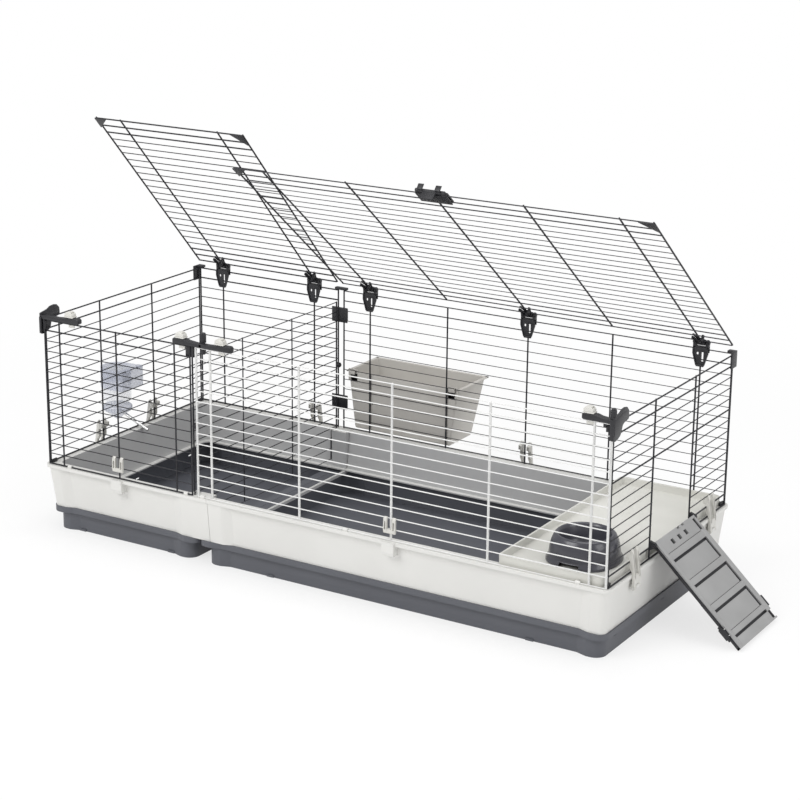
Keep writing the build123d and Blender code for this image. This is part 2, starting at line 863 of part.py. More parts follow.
# Hay bin hung outside the back wall
bin_y = wall_y + half_wire + slip_gap
bin_middle = (bin_low_x + bin_high_x) / 2
bin_hooks = [bin_low_x + 26, bin_high_x - 26]
hook_row = wall_rows[6]
with BuildPart() as hay_bin:
    for inset, mode in ((0, Mode.ADD), (wall, Mode.SUBTRACT)):
        low_half = (bin_high_x - bin_low_x) / 2 - bin_taper - inset
        high_half = (bin_high_x - bin_low_x) / 2 - inset
        front = bin_y - inset
        low_back = bin_y + bin_depth - 30 - inset
        high_back = bin_y + bin_depth - inset
        with BuildSketch(Plane.XY.offset(bin_bottom + inset)):
            with BuildLine():
                Polyline((bin_middle - low_half, front), (bin_middle + low_half, front),
                         (bin_middle + low_half, low_back), (bin_middle - low_half, low_back), close=True)
            make_face()
        with BuildSketch(Plane.XY.offset(bin_top)):
            with BuildLine():
                Polyline((bin_middle - high_half, front), (bin_middle + high_half, front),
                         (bin_middle + high_half, high_back), (bin_middle - high_half, high_back), close=True)
            make_face()
        loft(ruled=True, mode=mode)
    # Rim round the top, and the two hooks over a wire
    block((bin_low_x - 6, bin_y, bin_top - wall), (bin_low_x + wall, bin_y + bin_depth + 6, bin_top))
    block((bin_high_x - wall, bin_y, bin_top - wall), (bin_high_x + 6, bin_y + bin_depth + 6, bin_top))
    block((bin_low_x - 6, bin_y + bin_depth - wall, bin_top - wall), (bin_high_x + 6, bin_y + bin_depth + 6, bin_top))
    for x in bin_hooks:
        over = hook_row + row_wire / 2 + slip_gap
        inner = wall_y - half_wire - slip_gap
        low_x = x - 26 if x < bin_middle else x
        block((low_x, bin_y, bin_top - 24), (low_x + 26, bin_y + wall, over + 3))
        block((low_x + 5, inner - 3, over), (low_x + 21, bin_y + wall, over + 3))
        block((low_x + 5, inner - 3, over - 9), (low_x + 21, inner, over + 3))
save(hay_bin, "hay_bin")

# Platform across the right end, resting on the rim
platform_high_x = wall_x - half_wire - platform_clearance
platform_half = wall_y - half_wire - 4.4
with BuildPart() as platform:
    middle = ((platform_low_x + platform_high_x) / 2, 0)
    with BuildSketch(Plane.XY.offset(rim_height)):
        with Locations(middle):
            RectangleRounded(platform_high_x - platform_low_x, 2 * platform_half, 12)
    extrude(amount=platform_rim)
    with BuildSketch(Plane.XY.offset(rim_height + tray_floor)):
        with Locations(middle):
            RectangleRounded(
                platform_high_x - platform_low_x - 4 * wall, 2 * platform_half - 4 * wall, 12 - 2 * wall
            )
    extrude(amount=platform_rim, mode=Mode.SUBTRACT)
    fillet(platform.edges().group_by(Axis.Z)[-1], 1.5)
save(platform, "platform")

# Food bowl on the platform
with BuildPart() as bowl:
    base_z = rim_height + tray_floor
    with BuildSketch(Plane.XY.offset(base_z)):
        with Locations((bowl_x, bowl_y)):
            RectangleRounded(bowl_size, bowl_size, 46)
    with BuildSketch(Plane.XY.offset(base_z + bowl_height)):
        with Locations((bowl_x, bowl_y)):
            RectangleRounded(bowl_size * 0.8, bowl_size * 0.8, 46)
    loft(ruled=True)
    with Locations((bowl_x, bowl_y, base_z + bowl_height)):
        Cone(bowl_mouth - 12, bowl_mouth, bowl_height - 6, align=(Align.CENTER, Align.CENTER, Align.MAX),
             mode=Mode.SUBTRACT)
    block((bowl_x - 26, bowl_y - bowl_size / 2 - 1, base_z), (bowl_x + 26, bowl_y - bowl_size / 2 + 9, base_z + 12),
          Mode.SUBTRACT)
    fillet(bowl.edges().group_by(Axis.Z)[-1], 3)
save(bowl, "bowl")

# Drinking bottle hung outside the left end
cap_low = 171
cap_high = 205
body_high = 296
with BuildPart() as bottle_body:
    with BuildSketch(Plane.XZ):
        with BuildLine():
            Polyline((0, cap_high), (bottle_radius - 6, cap_high), (bottle_radius - 6, cap_high + 8),
                     (bottle_radius, cap_high + 14), (bottle_radius, body_high - 8),
                     (bottle_radius - 10, body_high), (0, body_high), close=True)
        make_face()
        with BuildLine():
            skin = bottle_radius - 1.6
            Polyline((0, cap_high - 1), (skin - 6, cap_high - 1), (skin - 6, cap_high + 8), (skin, cap_high + 14),
                     (skin, body_high - 9), (skin - 9, body_high - 1.6), (0, body_high - 1.6), close=True)
        make_face(mode=Mode.SUBTRACT)
    revolve(axis=Axis.Z)
bottle_body.part = bottle_body.part.moved(Location((bottle_x, bottle_y, 0)))
save(bottle_body, "bottle_body")

spout_point = Vector(-wall_x, bottle_y + 4, 170)
spout_along = Vector(70, 7, -36).normalized()
with BuildPart() as bottle_cap:
    with BuildSketch(Plane.XZ):
        with BuildLine():
            Polyline((0, cap_low), (9, cap_low), (14, cap_low + 6), (bottle_radius, cap_high - 10),
                     (bottle_radius, cap_high), (0, cap_high), close=True)
        make_face()
    revolve(axis=Axis.Z)
cap_part = bottle_cap.part.moved(Location((bottle_x, bottle_y, 0)))
spout_plane = Plane(origin=spout_point - spout_along * 40, z_dir=spout_along)
with BuildPart() as bottle_cap:
    add(cap_part)
    rod(spout_plane, (0, 0), spout_radius, -12, 78, Mode.SUBTRACT)
save(bottle_cap, "bottle_cap")

with BuildPart() as bottle_spout:
    rod(spout_plane, (0, 0), spout_radius, -12, 78)
    rod(spout_plane, (0, 0), spout_radius - 1, 4, 78, Mode.SUBTRACT)
save(bottle_spout, "bottle_spout")

with BuildPart() as bottle_ball:
    with Locations(tuple(spout_plane.origin + spout_along * 75.5)):
        Sphere(spout_radius - 1)
save(bottle_ball, "bottle_ball")

holder_low = 252
holder_high = 300
with BuildPart() as bottle_holder:
    outer_x = -end_out - slip_gap
    with BuildSketch(Plane.XY.offset(holder_low)):
        with Locations((bottle_x, bottle_y)):
            Circle(bottle_radius + 5)
        with Locations(((bottle_x + outer_x) / 2, bottle_y)):
            Rectangle(outer_x - bottle_x, 2 * bottle_radius + 10)
        with Locations((bottle_x, bottle_y)):
            Circle(bottle_radius + 0.4, mode=Mode.SUBTRACT)
    extrude(amount=holder_high - holder_low)
    for y in (bottle_y - 22, bottle_y + 22):
        over = hook_row + row_wire / 2 + slip_gap
        inner = -wall_x + half_wire + slip_gap
        block((outer_x - 4, y - 6, holder_high - 8), (outer_x, y + 6, over + 3))
        block((outer_x - 4, y - 6, over), (inner + 3, y + 6, over + 3))
        block((inner, y - 6, over - 4), (inner + 3, y + 6, over + 3))
save(bottle_holder, "bottle_holder")

# Ramp in its own plane: X across it, Y down the slope, Z up from it
slope = math.radians(ramp_slope)
ramp_axis = Vector(wall_x + ramp_axis_out, 0, ramp_axis_height)
ramp_length = (
    ramp_axis_height - floor_gap - ramp_thickness / 2 * math.cos(slope)
) / math.sin(slope)
ramp_plane = Plane(
    origin=ramp_axis, x_dir=(0, -1, 0), z_dir=(math.sin(slope), 0, math.cos(slope))
)
ramp_side = Plane(origin=ramp_axis, x_dir=ramp_plane.y_dir, z_dir=(0, 1, 0))
half = ramp_width / 2
thick = ramp_thickness / 2
latch_v = ramp_length * 0.84
with BuildPart() as ramp_rails:
    for s in (-1, 1):
        low_y, high_y = sorted((s * (half - ramp_rail), s * half))
        points = [(0, -thick), (ramp_length, -thick), (ramp_length, thick), (0, thick)]
        prism(ramp_side, points, low_y, high_y)
        rod(ramp_side, (0, 0), thick, low_y, high_y)
        low_y, high_y = sorted((s * (half - 1), s * (half + ramp_pin_length)))
        rod(ramp_side, (0, 0), ramp_pin, low_y, high_y)
        low_y, high_y = sorted((s * (half - ramp_rail - 1), s * (half + 1)))
        notch = [(latch_v - 8, -3), (latch_v + 8, -3), (latch_v + 8, 3), (latch_v - 8, 3)]
        prism(ramp_side, notch, low_y, high_y, Mode.SUBTRACT)
    bar = half - ramp_rail
    points = [(ramp_length - 6, -thick), (ramp_length, -thick), (ramp_length, thick), (ramp_length - 6, thick)]
    prism(ramp_side, points, -bar, bar)
save(ramp_rails, "ramp_rails")

deck_half = half - ramp_rail
deck_high = ramp_length - 6
bar_places = [30, 102, 174, 246]
with BuildPart() as ramp_deck:
    with BuildSketch(ramp_plane.offset(-thick)):
        with Locations((0, (deck_high - 4) / 2)):
            Rectangle(2 * deck_half, deck_high + 4)
    extrude(amount=ramp_thickness - 3)
    # Sunken treads between the cross bars
    for low_v, high_v in zip(bar_places, bar_places[1:] + [deck_high]):
        if high_v - low_v > 20:
            with BuildSketch(ramp_plane.offset(thick - 3 - 1.5)):
                with Locations((0, (low_v + high_v) / 2 + 2)):
                    RectangleRounded(2 * deck_half - 24, high_v - low_v - 18, 2)
            extrude(amount=3, mode=Mode.SUBTRACT)
    for v in bar_places:
        with BuildSketch(ramp_plane.offset(thick - 4)):
            with Locations((0, v)):
                Rectangle(2 * deck_half - 14, tread_bar)
        extrude(amount=4)
    # Pockets that the side latches slide into
    for s in (-1, 1):
        low_y, high_y = sorted((s * (deck_half - 6), s * (deck_half + 1)))
        pocket = [(latch_v - 8, -3), (latch_v + 8, -3), (latch_v + 8, 3), (latch_v - 8, 3)]
        prism(ramp_side, pocket, low_y, high_y, Mode.SUBTRACT)
    # Slots near the top, and the hollow underneath
    for x in (-28, 0, 28):
        with BuildSketch(ramp_plane.offset(-thick - 1)):
            with Locations((x, 12)):
                Rectangle(9, 7)
        extrude(amount=ramp_thickness + 2, mode=Mode.SUBTRACT)
    with BuildSketch(ramp_plane.offset(-thick - 1)):
        with Locations((0, (deck_high + 24) / 2)):
            Rectangle(2 * deck_half - 8, deck_high - 36)
    extrude(amount=1 + ramp_thickness - 3 - tread_thickness, mode=Mode.SUBTRACT)
save(ramp_deck, "ramp_deck")

for name, s in (("ramp_latch_front", -1), ("ramp_latch_back", 1)):
    with BuildPart() as ramp_latch:
        low_y, high_y = sorted((s * (half - ramp_rail), s * (half + 5)))
        points = [(latch_v - 7, -2.7), (latch_v + 7, -2.7), (latch_v + 7, 2.7), (latch_v - 7, 2.7)]
        prism(ramp_side, points, low_y, high_y)
    save(ramp_latch, name)

with BuildPart() as ramp_hinges:
    for s in (-1, 1):
        low_y, high_y = sorted((s * (half + 0.6), s * (half + 0.6 + ramp_lug)))
        centre = (ramp_axis.X, ramp_axis.Z)
        plane = Plane(origin=(0, 0, 0), x_dir=(1, 0, 0), z_dir=(0, -1, 0))
        points = [(end_out, ramp_axis.Z - 12), (centre[0], ramp_axis.Z - thick), (centre[0], ramp_axis.Z + thick),
                  (end_out, ramp_axis.Z + 9)]
        prism(plane, points, -high_y, -low_y)
        rod(plane, centre, thick, -high_y, -low_y)
        rod(plane, centre, ramp_pin + bore_gap, -high_y - 1, -low_y + 1, Mode.SUBTRACT)
save(ramp_hinges, "ramp_hinges")
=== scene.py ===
import json
import math
import bpy
from mathutils import Matrix, Vector


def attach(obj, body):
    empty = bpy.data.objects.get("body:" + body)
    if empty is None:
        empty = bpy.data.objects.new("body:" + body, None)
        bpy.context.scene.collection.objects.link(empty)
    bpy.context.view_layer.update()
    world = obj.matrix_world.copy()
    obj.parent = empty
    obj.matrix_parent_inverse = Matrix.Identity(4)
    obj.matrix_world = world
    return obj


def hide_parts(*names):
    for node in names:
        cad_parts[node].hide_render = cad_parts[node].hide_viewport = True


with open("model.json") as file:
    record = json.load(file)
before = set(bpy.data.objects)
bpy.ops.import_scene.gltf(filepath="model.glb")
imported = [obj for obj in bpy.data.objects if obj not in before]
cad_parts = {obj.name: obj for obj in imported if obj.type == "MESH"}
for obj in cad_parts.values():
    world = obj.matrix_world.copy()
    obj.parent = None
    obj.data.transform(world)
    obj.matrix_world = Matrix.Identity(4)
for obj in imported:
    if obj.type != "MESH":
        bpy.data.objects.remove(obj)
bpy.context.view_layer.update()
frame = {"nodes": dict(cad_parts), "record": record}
nodes = frame["nodes"]
bodyOf = {node: body for body, members in frame["record"]["behaviour"]["bodies"].items() for node in members}
slotOf = {part["node"]: part["material_slot"] for part in frame["record"]["subparts"]}
mm = 0.001
print("stage: frame loaded")


# materials
def newMaterial(name):
    material = bpy.data.materials.new(name)
    material.use_nodes = True
    tree = material.node_tree
    shader = tree.nodes["Principled BSDF"]
    return material, tree, shader


def mathNode(tree, operation, first, second=None):
    # a maths node fed by sockets or by plain numbers
    node = tree.nodes.new("ShaderNodeMath")
    node.operation = operation
    for socket, value in zip(node.inputs, (first, second)):
        if isinstance(value, (int, float)):
            socket.default_value = value
        elif value is not None:
            tree.links.new(value, socket)
    return node.outputs[0]


def paintInsideShade(tree, place, colour, inside):
    # painted shade: a darker colour multiplied onto the faces that look into the cage, standing in for the shade inside
    # it
    axes = tree.nodes.new("ShaderNodeSeparateXYZ")
    tree.links.new(place.outputs["Object"], axes.inputs["Vector"])
    nearX = mathNode(tree, "LESS_THAN", mathNode(tree, "ABSOLUTE", axes.outputs["X"]), inside["x"])
    nearY = mathNode(tree, "LESS_THAN", mathNode(tree, "ABSOLUTE", axes.outputs["Y"]), inside["y"])
    # only faces turned towards the middle of the cage get the painted shade
    surface = tree.nodes.new("ShaderNodeNewGeometry")
    flat = tree.nodes.new("ShaderNodeCombineXYZ")
    tree.links.new(axes.outputs["X"], flat.inputs["X"])
    tree.links.new(axes.outputs["Y"], flat.inputs["Y"])
    facingOut = tree.nodes.new("ShaderNodeVectorMath")
    facingOut.operation = "DOT_PRODUCT"
    tree.links.new(surface.outputs["True Normal"], facingOut.inputs[0])
    tree.links.new(flat.outputs["Vector"], facingOut.inputs[1])
    inward = mathNode(tree, "LESS_THAN", facingOut.outputs["Value"], inside["facing"])
    share = mathNode(tree, "MULTIPLY", mathNode(tree, "MULTIPLY", nearX, nearY), inward)
    tint = tree.nodes.new("ShaderNodeMix")
    tint.data_type = "RGBA"
    tint.blend_type = "MULTIPLY"
    tint.inputs[7].default_value = (*inside["tint"], 1)
    tree.links.new(share, tint.inputs[0])
    tree.links.new(colour, tint.inputs[6])
    return tint.outputs[2]


def mottled(name, look):
    # plastic or paint: two close shades, uneven gloss and a fine grain in the surface
    material, tree, shader = newMaterial(name)
    place = tree.nodes.new("ShaderNodeTexCoord")
    cloud = tree.nodes.new("ShaderNodeTexNoise")
    cloud.inputs["Scale"].default_value = look["cloudScale"]
    cloud.inputs["Detail"].default_value = 4
    tree.links.new(place.outputs["Object"], cloud.inputs["Vector"])
    shade = tree.nodes.new("ShaderNodeValToRGB")
    shade.color_ramp.elements[0].position = 0.3
    shade.color_ramp.elements[1].position = 0.7
    shade.color_ramp.elements[0].color = (*look["dark"], 1)
    shade.color_ramp.elements[1].color = (*look["light"], 1)
    tree.links.new(cloud.outputs["Fac"], shade.inputs["Fac"])
    colour = shade.outputs["Color"]
    # painted shade on the faces that look into the cage, where the look asks for it
    if "inside" in look:
        colour = paintInsideShade(tree, place, colour, look["inside"])
    tree.links.new(colour, shader.inputs["Base Color"])
    gloss = tree.nodes.new("ShaderNodeMapRange")
    gloss.inputs["To Min"].default_value = look["roughness"] - 0.05
    gloss.inputs["To Max"].default_value = look["roughness"] + 0.07
    tree.links.new(cloud.outputs["Fac"], gloss.inputs["Value"])
    tree.links.new(gloss.outputs["Result"], shader.inputs["Roughness"])
    grain = tree.nodes.new("ShaderNodeTexNoise")
    grain.inputs["Scale"].default_value = look["grainScale"]
    grain.inputs["Detail"].default_value = 3
    tree.links.new(place.outputs["Object"], grain.inputs["Vector"])
    bump = tree.nodes.new("ShaderNodeBump")
    bump.inputs["Strength"].default_value = look["grain"]
    bump.inputs["Distance"].default_value = 0.0004
    tree.links.new(grain.outputs["Fac"], bump.inputs["Height"])
    tree.links.new(bump.outputs["Normal"], shader.inputs["Normal"])
    shader.inputs["Specular IOR Level"].default_value = look.get("specular", 0.5)
    shader.inputs["Metallic"].default_value = look.get("metallic", 0)
    if "clear" in look:
        shader.inputs["Alpha"].default_value = look["clear"]
    return material


looks = {
    "black_wire": {"dark": (0.022, 0.022, 0.027), "light": (0.034, 0.034, 0.04), "roughness": 0.42,
                   "cloudScale": 30, "grain": 0.15, "grainScale": 2500},
    "white_wire": {"dark": (0.78, 0.78, 0.77), "light": (0.86, 0.86, 0.85), "roughness": 0.35,
                   "cloudScale": 30, "grain": 0.12, "grainScale": 2500},
    "grey_plastic": {"dark": (0.098, 0.102, 0.118), "light": (0.112, 0.117, 0.134), "roughness": 0.5,
                     "cloudScale": 6, "grain": 0.25, "grainScale": 1800},
    # white plastic, with painted shade multiplied onto its faces that look into the cage
    "white_plastic": {"dark": (0.72, 0.715, 0.69), "light": (0.765, 0.76, 0.735), "roughness": 0.42,
                      "cloudScale": 5, "grain": 0.15, "grainScale": 1500,
                      "inside": {"x": 0.692, "y": 0.282, "facing": -0.05, "tint": (0.66, 0.665, 0.69)}},
    "clip_plastic": {"dark": (0.62, 0.61, 0.57), "light": (0.7, 0.69, 0.65), "roughness": 0.3,
                     "cloudScale": 40, "grain": 0.1, "grainScale": 2000},
    "latch_plastic": {"dark": (0.66, 0.65, 0.61), "light": (0.73, 0.72, 0.68), "roughness": 0.35,
                      "cloudScale": 40, "grain": 0.1, "grainScale": 2000},
    "black_plastic": {"dark": (0.014, 0.014, 0.017), "light": (0.024, 0.024, 0.028), "roughness": 0.4,
                      "cloudScale": 25, "grain": 0.3, "grainScale": 2600},
    "bin_plastic": {"dark": (0.53, 0.51, 0.475), "light": (0.59, 0.57, 0.535), "roughness": 0.5,
                    "cloudScale": 9, "grain": 0.25, "grainScale": 1700},
    "platform_plastic": {"dark": (0.66, 0.655, 0.61), "light": (0.72, 0.715, 0.675), "roughness": 0.42,
                         "cloudScale": 7, "grain": 0.2, "grainScale": 1700},
    "bowl_plastic": {"dark": (0.055, 0.055, 0.068), "light": (0.068, 0.068, 0.083), "roughness": 0.2,
                     "cloudScale": 14, "grain": 0.05, "grainScale": 900, "specular": 0.65},
    # the ramp's dark grey plastic painted lighter for its top faces: a painted sheen
    "ramp_plastic": {"dark": (0.33, 0.33, 0.33), "light": (0.375, 0.375, 0.375), "roughness": 0.48,
                     "cloudScale": 12, "grain": 0.25, "grainScale": 2000},
    "bottle_plastic": {"dark": (0.8, 0.83, 0.88), "light": (0.9, 0.92, 0.96), "roughness": 0.12,
                       "cloudScale": 12, "grain": 0.03, "grainScale": 700, "clear": 0.16},
    "bottle_cap_plastic": {"dark": (0.55, 0.58, 0.68), "light": (0.64, 0.67, 0.76), "roughness": 0.22,
                           "cloudScale": 18, "grain": 0.05, "grainScale": 900, "clear": 0.5},
    "steel": {"dark": (0.6, 0.6, 0.6), "light": (0.72, 0.72, 0.72), "roughness": 0.22,
              "cloudScale": 60, "grain": 0.1, "grainScale": 3000, "metallic": 1},
}
materials = {slot: mottled(slot, look) for slot, look in looks.items()}
for nodeName, node in nodes.items():
    node.data.materials.clear()
    node.data.materials.append(materials[slotOf[nodeName]])
print("stage: materials made")


# helpers for modelling
def deselectAll():
    bpy.ops.object.select_all(action="DESELECT")


def setInPlace(piece):
    # moves a piece's place into its mesh
    deselectAll()
    piece.select_set(True)
    bpy.context.view_layer.objects.active = piece
    bpy.ops.object.transform_apply(location=True, rotation=True, scale=True)


def joined(parts, name):
    deselectAll()
    for part in parts:
        part.select_set(True)
    bpy.context.view_layer.objects.active = parts[0]
    if len(parts) > 1:
        bpy.ops.object.join()
    piece = bpy.context.object
    piece.name = name
    piece.data.name = name
    return piece


def finished(piece, slot, body, *replaced):
    piece.data.materials.clear()
    piece.data.materials.append(materials[slot])
    if replaced:
        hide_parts(*replaced)
    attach(piece, body)
    return piece


def wire(start, end, radius, sides=12):
    # one straight wire with its cut ends eased
    start, end = Vector(start), Vector(end)
    bpy.ops.mesh.primitive_cylinder_add(vertices=sides, radius=radius, depth=(end - start).length, location=(start + end) / 2)
    rod = bpy.context.object
    bpy.ops.object.mode_set(mode="EDIT")
    bpy.ops.mesh.select_all(action="DESELECT")
    bpy.ops.object.mode_set(mode="OBJECT")
    half = (end - start).length / 2
    for face in rod.data.polygons:
        face.select = abs(abs(face.center.z) - half) < 1e-6 and len(face.vertices) > 4
    bpy.ops.object.mode_set(mode="EDIT")
    bpy.ops.mesh.inset(thickness=radius * 0.35, depth=radius * 0.3, use_individual=True)
    bpy.ops.object.mode_set(mode="OBJECT")
    rod.rotation_mode = "QUATERNION"
    rod.rotation_quaternion = (end - start).to_track_quat("Z", "Y")
    setInPlace(rod)
    return rod


def copied(piece, offset):
    # a copy with its own mesh, moved by an offset
    twin = piece.copy()
    twin.data = piece.data.copy()
    twin.data.transform(Matrix.Translation(Vector(offset)))
    bpy.context.collection.objects.link(twin)
    return twin


# wire walls, doors and roofs, in millimetres
cage = {"endWall": 702, "longWall": 292, "hingeHeight": 508, "innerUpright": 97, "roofAngles": {"left": 47, "right": 38.6}}
wires = {
    "row": 0.85, "heavyRow": 1.3, "upright": 1.45,
    "whiteRow": 1.2, "whiteUpright": 2.05,
    "rowOut": 0.8, "uprightIn": 0.85,
}
wallRows = [157 + 24 * k for k in range(15)]


def grille(name, node, place, rows, uprights, white=False, heavy=(), gaps=()):
    # rows and uprights lie in the wall's own plane: X along it, Y up it, Z outwards
    rowRadius = wires["whiteRow"] if white else wires["row"]
    uprightRadius = wires["whiteUpright"] if white else wires["upright"]
    left, right = uprights[0], uprights[-1]
    parts = []
    light = wire((left, 0, wires["rowOut"]), (right, 0, wires["rowOut"]), rowRadius)
    strong = wire((left, 0, wires["rowOut"]), (right, 0, wires["rowOut"]), wires["heavyRow"])
    for k, y in enumerate(rows):
        if k not in gaps:
            source = strong if (k in heavy and not white) else light
            parts.append(copied(source, (0, y, 0)))
    for k in gaps:
        for a, b in ((left, -cage["innerUpright"]), (cage["innerUpright"], right)):
            parts.append(wire((a, rows[k], wires["rowOut"]), (b, rows[k], wires["rowOut"]), rowRadius))
    top, bottom = rows[-1], rows[0]
    post = wire((0, bottom - 1.5, -wires["uprightIn"]), (0, top + 1, -wires["uprightIn"]), uprightRadius)
    for x in uprights:
        parts.append(copied(post, (x, 0, 0)))
    for spare in (light, strong, post):
        bpy.data.objects.remove(spare)
    piece = joined(parts, name)
    piece.data.transform(place @ Matrix.Scale(mm, 4))
    piece.data.update()
    deselectAll()
    piece.select_set(True)
    bpy.context.view_layer.objects.active = piece
    bpy.ops.object.shade_smooth_by_angle(angle=math.radians(40))
    return finished(piece, "white_wire" if white else "black_wire", bodyOf[node], node)


def planeMatrix(origin, across, up):
    # a plane's place in the frame's metres
    across, up = Vector(across), Vector(up)
    out = across.cross(up)
    rotation = Matrix((across, up, out)).transposed().to_4x4()
    return Matrix.Translation(Vector(origin) * mm) @ rotation


def mirrored(uprights):
    return [-x for x in reversed(uprights)]


def roofMatrix(side):
    # the plane of an open roof: X along its hinges, Y up its slope
    tilt = math.radians(cage["roofAngles"][side])
    return planeMatrix((0, cage["longWall"], cage["hingeHeight"]), (1, 0, 0), (0, -math.cos(tilt), math.sin(tilt)))


endUprights = [-286, -cage["innerUpright"], cage["innerUpright"], 286]
smallMiddle, largeMiddle = -499, 209
smallBack = [-700, smallMiddle - 133, smallMiddle + 133, -298]
largeBack = [-282] + [largeMiddle + 209 * k for k in range(-2, 3)] + [700]
smallDoor = [-700, smallMiddle - 159, smallMiddle, smallMiddle + 159, -298]
largeDoor = [-282] + [largeMiddle + 227 * k for k in range(-2, 3)] + [700]
heavyRows = (0, 13, 14)

leftEnd = planeMatrix((-cage["endWall"], 0, 0), (0, -1, 0), (0, 0, 1))
rightEnd = planeMatrix((cage["endWall"], 0, 0), (0, 1, 0), (0, 0, 1))
backWall = planeMatrix((0, cage["longWall"], 0), (-1, 0, 0), (0, 0, 1))
frontWall = planeMatrix((0, -cage["longWall"], 0), (1, 0, 0), (0, 0, 1))
grille("leftEndWires", "left_end_panel", leftEnd, wallRows, endUprights, heavy=heavyRows)
grille("rightEndWires", "right_end_panel", rightEnd, wallRows, endUprights, heavy=(0, 1, 9, 13, 14), gaps=range(2, 9))
grille("smallBackWires", "small_back_panel", backWall, wallRows, mirrored(smallBack), heavy=heavyRows)
grille("largeBackWires", "large_back_panel", backWall, wallRows, mirrored(largeBack), heavy=heavyRows)
grille("smallDoorWires", "small_front_door", frontWall, wallRows, smallDoor, heavy=heavyRows)
grille("largeDoorWires", "large_front_door", frontWall, wallRows, largeDoor, white=True)

# the divider is narrower below the rim
divide = {"x": -298, "half": 283, "lowHalf": 260, "foot": 82, "shoulder": 136, "top": 466, "spaces": 14}
dividerRows = [83 + 26.5 * k for k in range(2)]
dividerRows += [divide["shoulder"] + (divide["top"] - divide["shoulder"]) / divide["spaces"] * k for k in range(15)]
dividerParts = []
for row in dividerRows:
    reach = divide["lowHalf"] if row < divide["shoulder"] - 2 else divide["half"]
    dividerParts.append(wire((-reach, row, wires["rowOut"]), (reach, row, wires["rowOut"]), wires["row"]))
for y, low, high, out in (
    (divide["half"], divide["shoulder"] - 1.5, divide["top"] + 1, 0),
    (divide["lowHalf"], divide["foot"], divide["shoulder"], 0),
    (cage["innerUpright"], divide["foot"], divide["top"] + 1, -wires["uprightIn"]),
):
    for side in (-1, 1):
        dividerParts.append(wire((side * y, low, out), (side * y, high, out), wires["upright"]))
divider = joined(dividerParts, "dividerWires")
divider.data.transform(planeMatrix((divide["x"], 0, 0), (0, 1, 0), (0, 0, 1)) @ Matrix.Scale(mm, 4))
bpy.ops.object.shade_smooth_by_angle(angle=math.radians(40))
finished(divider, "black_wire", "base", "divider_panel")

roofRows = [10 + 548 * k / 22 for k in range(23)]
for side, uprights in (("left", smallBack), ("right", largeBack)):
    grille(side + "RoofWires", side + "_roof", roofMatrix(side), roofRows, uprights, heavy=(0, 1, 2, 20, 21, 22))
print("stage: wires made")


# plastic parts with eased edges
def eased(node, name, width):
    # the CAD shape with its sharp edges rounded over
    piece = nodes[node].copy()
    piece.data = nodes[node].data.copy()
    for key in list(piece.keys()):
        del piece[key]
    piece.parent = None
    piece.name = name
    bpy.context.collection.objects.link(piece)
    deselectAll()
    piece.select_set(True)
    bpy.context.view_layer.objects.active = piece
    bpy.ops.object.mode_set(mode="EDIT")
    bpy.ops.mesh.select_all(action="SELECT")
    bpy.ops.mesh.remove_doubles(threshold=0.00001)
    bpy.ops.mesh.dissolve_limited(angle_limit=math.radians(1))
    bpy.ops.object.mode_set(mode="OBJECT")
    rounding = piece.modifiers.new("rounding", "BEVEL")
    rounding.width = width * mm
    rounding.segments = 2
    rounding.limit_method = "ANGLE"
    rounding.angle_limit = math.radians(40)
    rounding.use_clamp_overlap = True
    bpy.ops.object.modifier_apply(modifier="rounding")
    bpy.ops.object.shade_smooth_by_angle(angle=math.radians(35))
    return finished(piece, slotOf[node], bodyOf[node], node)


easing = {
    "platform": 0.8,
    "back_caps": 1.0, "post_clips": 1.0, "small_door_ears": 0.9, "large_door_ears": 0.9,
    "clip_left_front": 0.9, "clip_left_back": 0.9, "clip_right_front": 0.9, "clip_right_back": 0.9,
    "clip_back_small": 0.9, "clip_back_large": 0.9,
    "left_roof_caps": 0.6, "right_roof_caps": 0.6, "roof_latch": 0.6, "roof_latch_tab": 0.5, "panel_feet": 0.8,
}
easedPieces = {}
for nodeName, width in easing.items():
    title = nodeName.replace("_", " ").title().replace(" ", "")
    easedPieces[nodeName] = eased(nodeName, title[0].lower() + title[1:], width)
print("stage: plastic eased")


# shapes that several pieces start from, in millimetres
def rounded(piece, width, segments=2):
    # eases the sharp edges of a piece
    rounding = piece.modifiers.new("rounding", "BEVEL")
    rounding.width = width
    rounding.segments = segments
    rounding.limit_method = "ANGLE"
    rounding.angle_limit = math.radians(35)
    deselectAll()
    piece.select_set(True)
    bpy.context.view_layer.objects.active = piece
    bpy.ops.object.modifier_apply(modifier="rounding")
    return piece


def plate(outline, low, high, place=Matrix.Identity(4), rounding=0.0, segments=2):
    # an outline in its own plane, pushed out between two heights and eased
    deselectAll()
    bpy.ops.mesh.primitive_circle_add(vertices=len(outline), radius=1, fill_type="NGON")
    piece = bpy.context.object
    for vertex, (x, y) in zip(piece.data.vertices, outline):
        vertex.co = (x, y, low)
    bpy.ops.object.mode_set(mode="EDIT")
    bpy.ops.mesh.select_all(action="SELECT")
    bpy.ops.mesh.extrude_region_move(TRANSFORM_OT_translate={"value": (0, 0, high - low)})
    bpy.ops.mesh.select_all(action="SELECT")
    bpy.ops.mesh.normals_make_consistent(inside=False)
    bpy.ops.object.mode_set(mode="OBJECT")
    if rounding:
        rounded(piece, rounding, segments)
    piece.data.transform(place)
    return piece


def slab(low, high, place=Matrix.Identity(4), rounding=0.0, segments=2):
    # a block between two corners
    outline = [(low[0], low[1]), (high[0], low[1]), (high[0], high[1]), (low[0], high[1])]
    return plate(outline, low[2], high[2], place, rounding, segments)


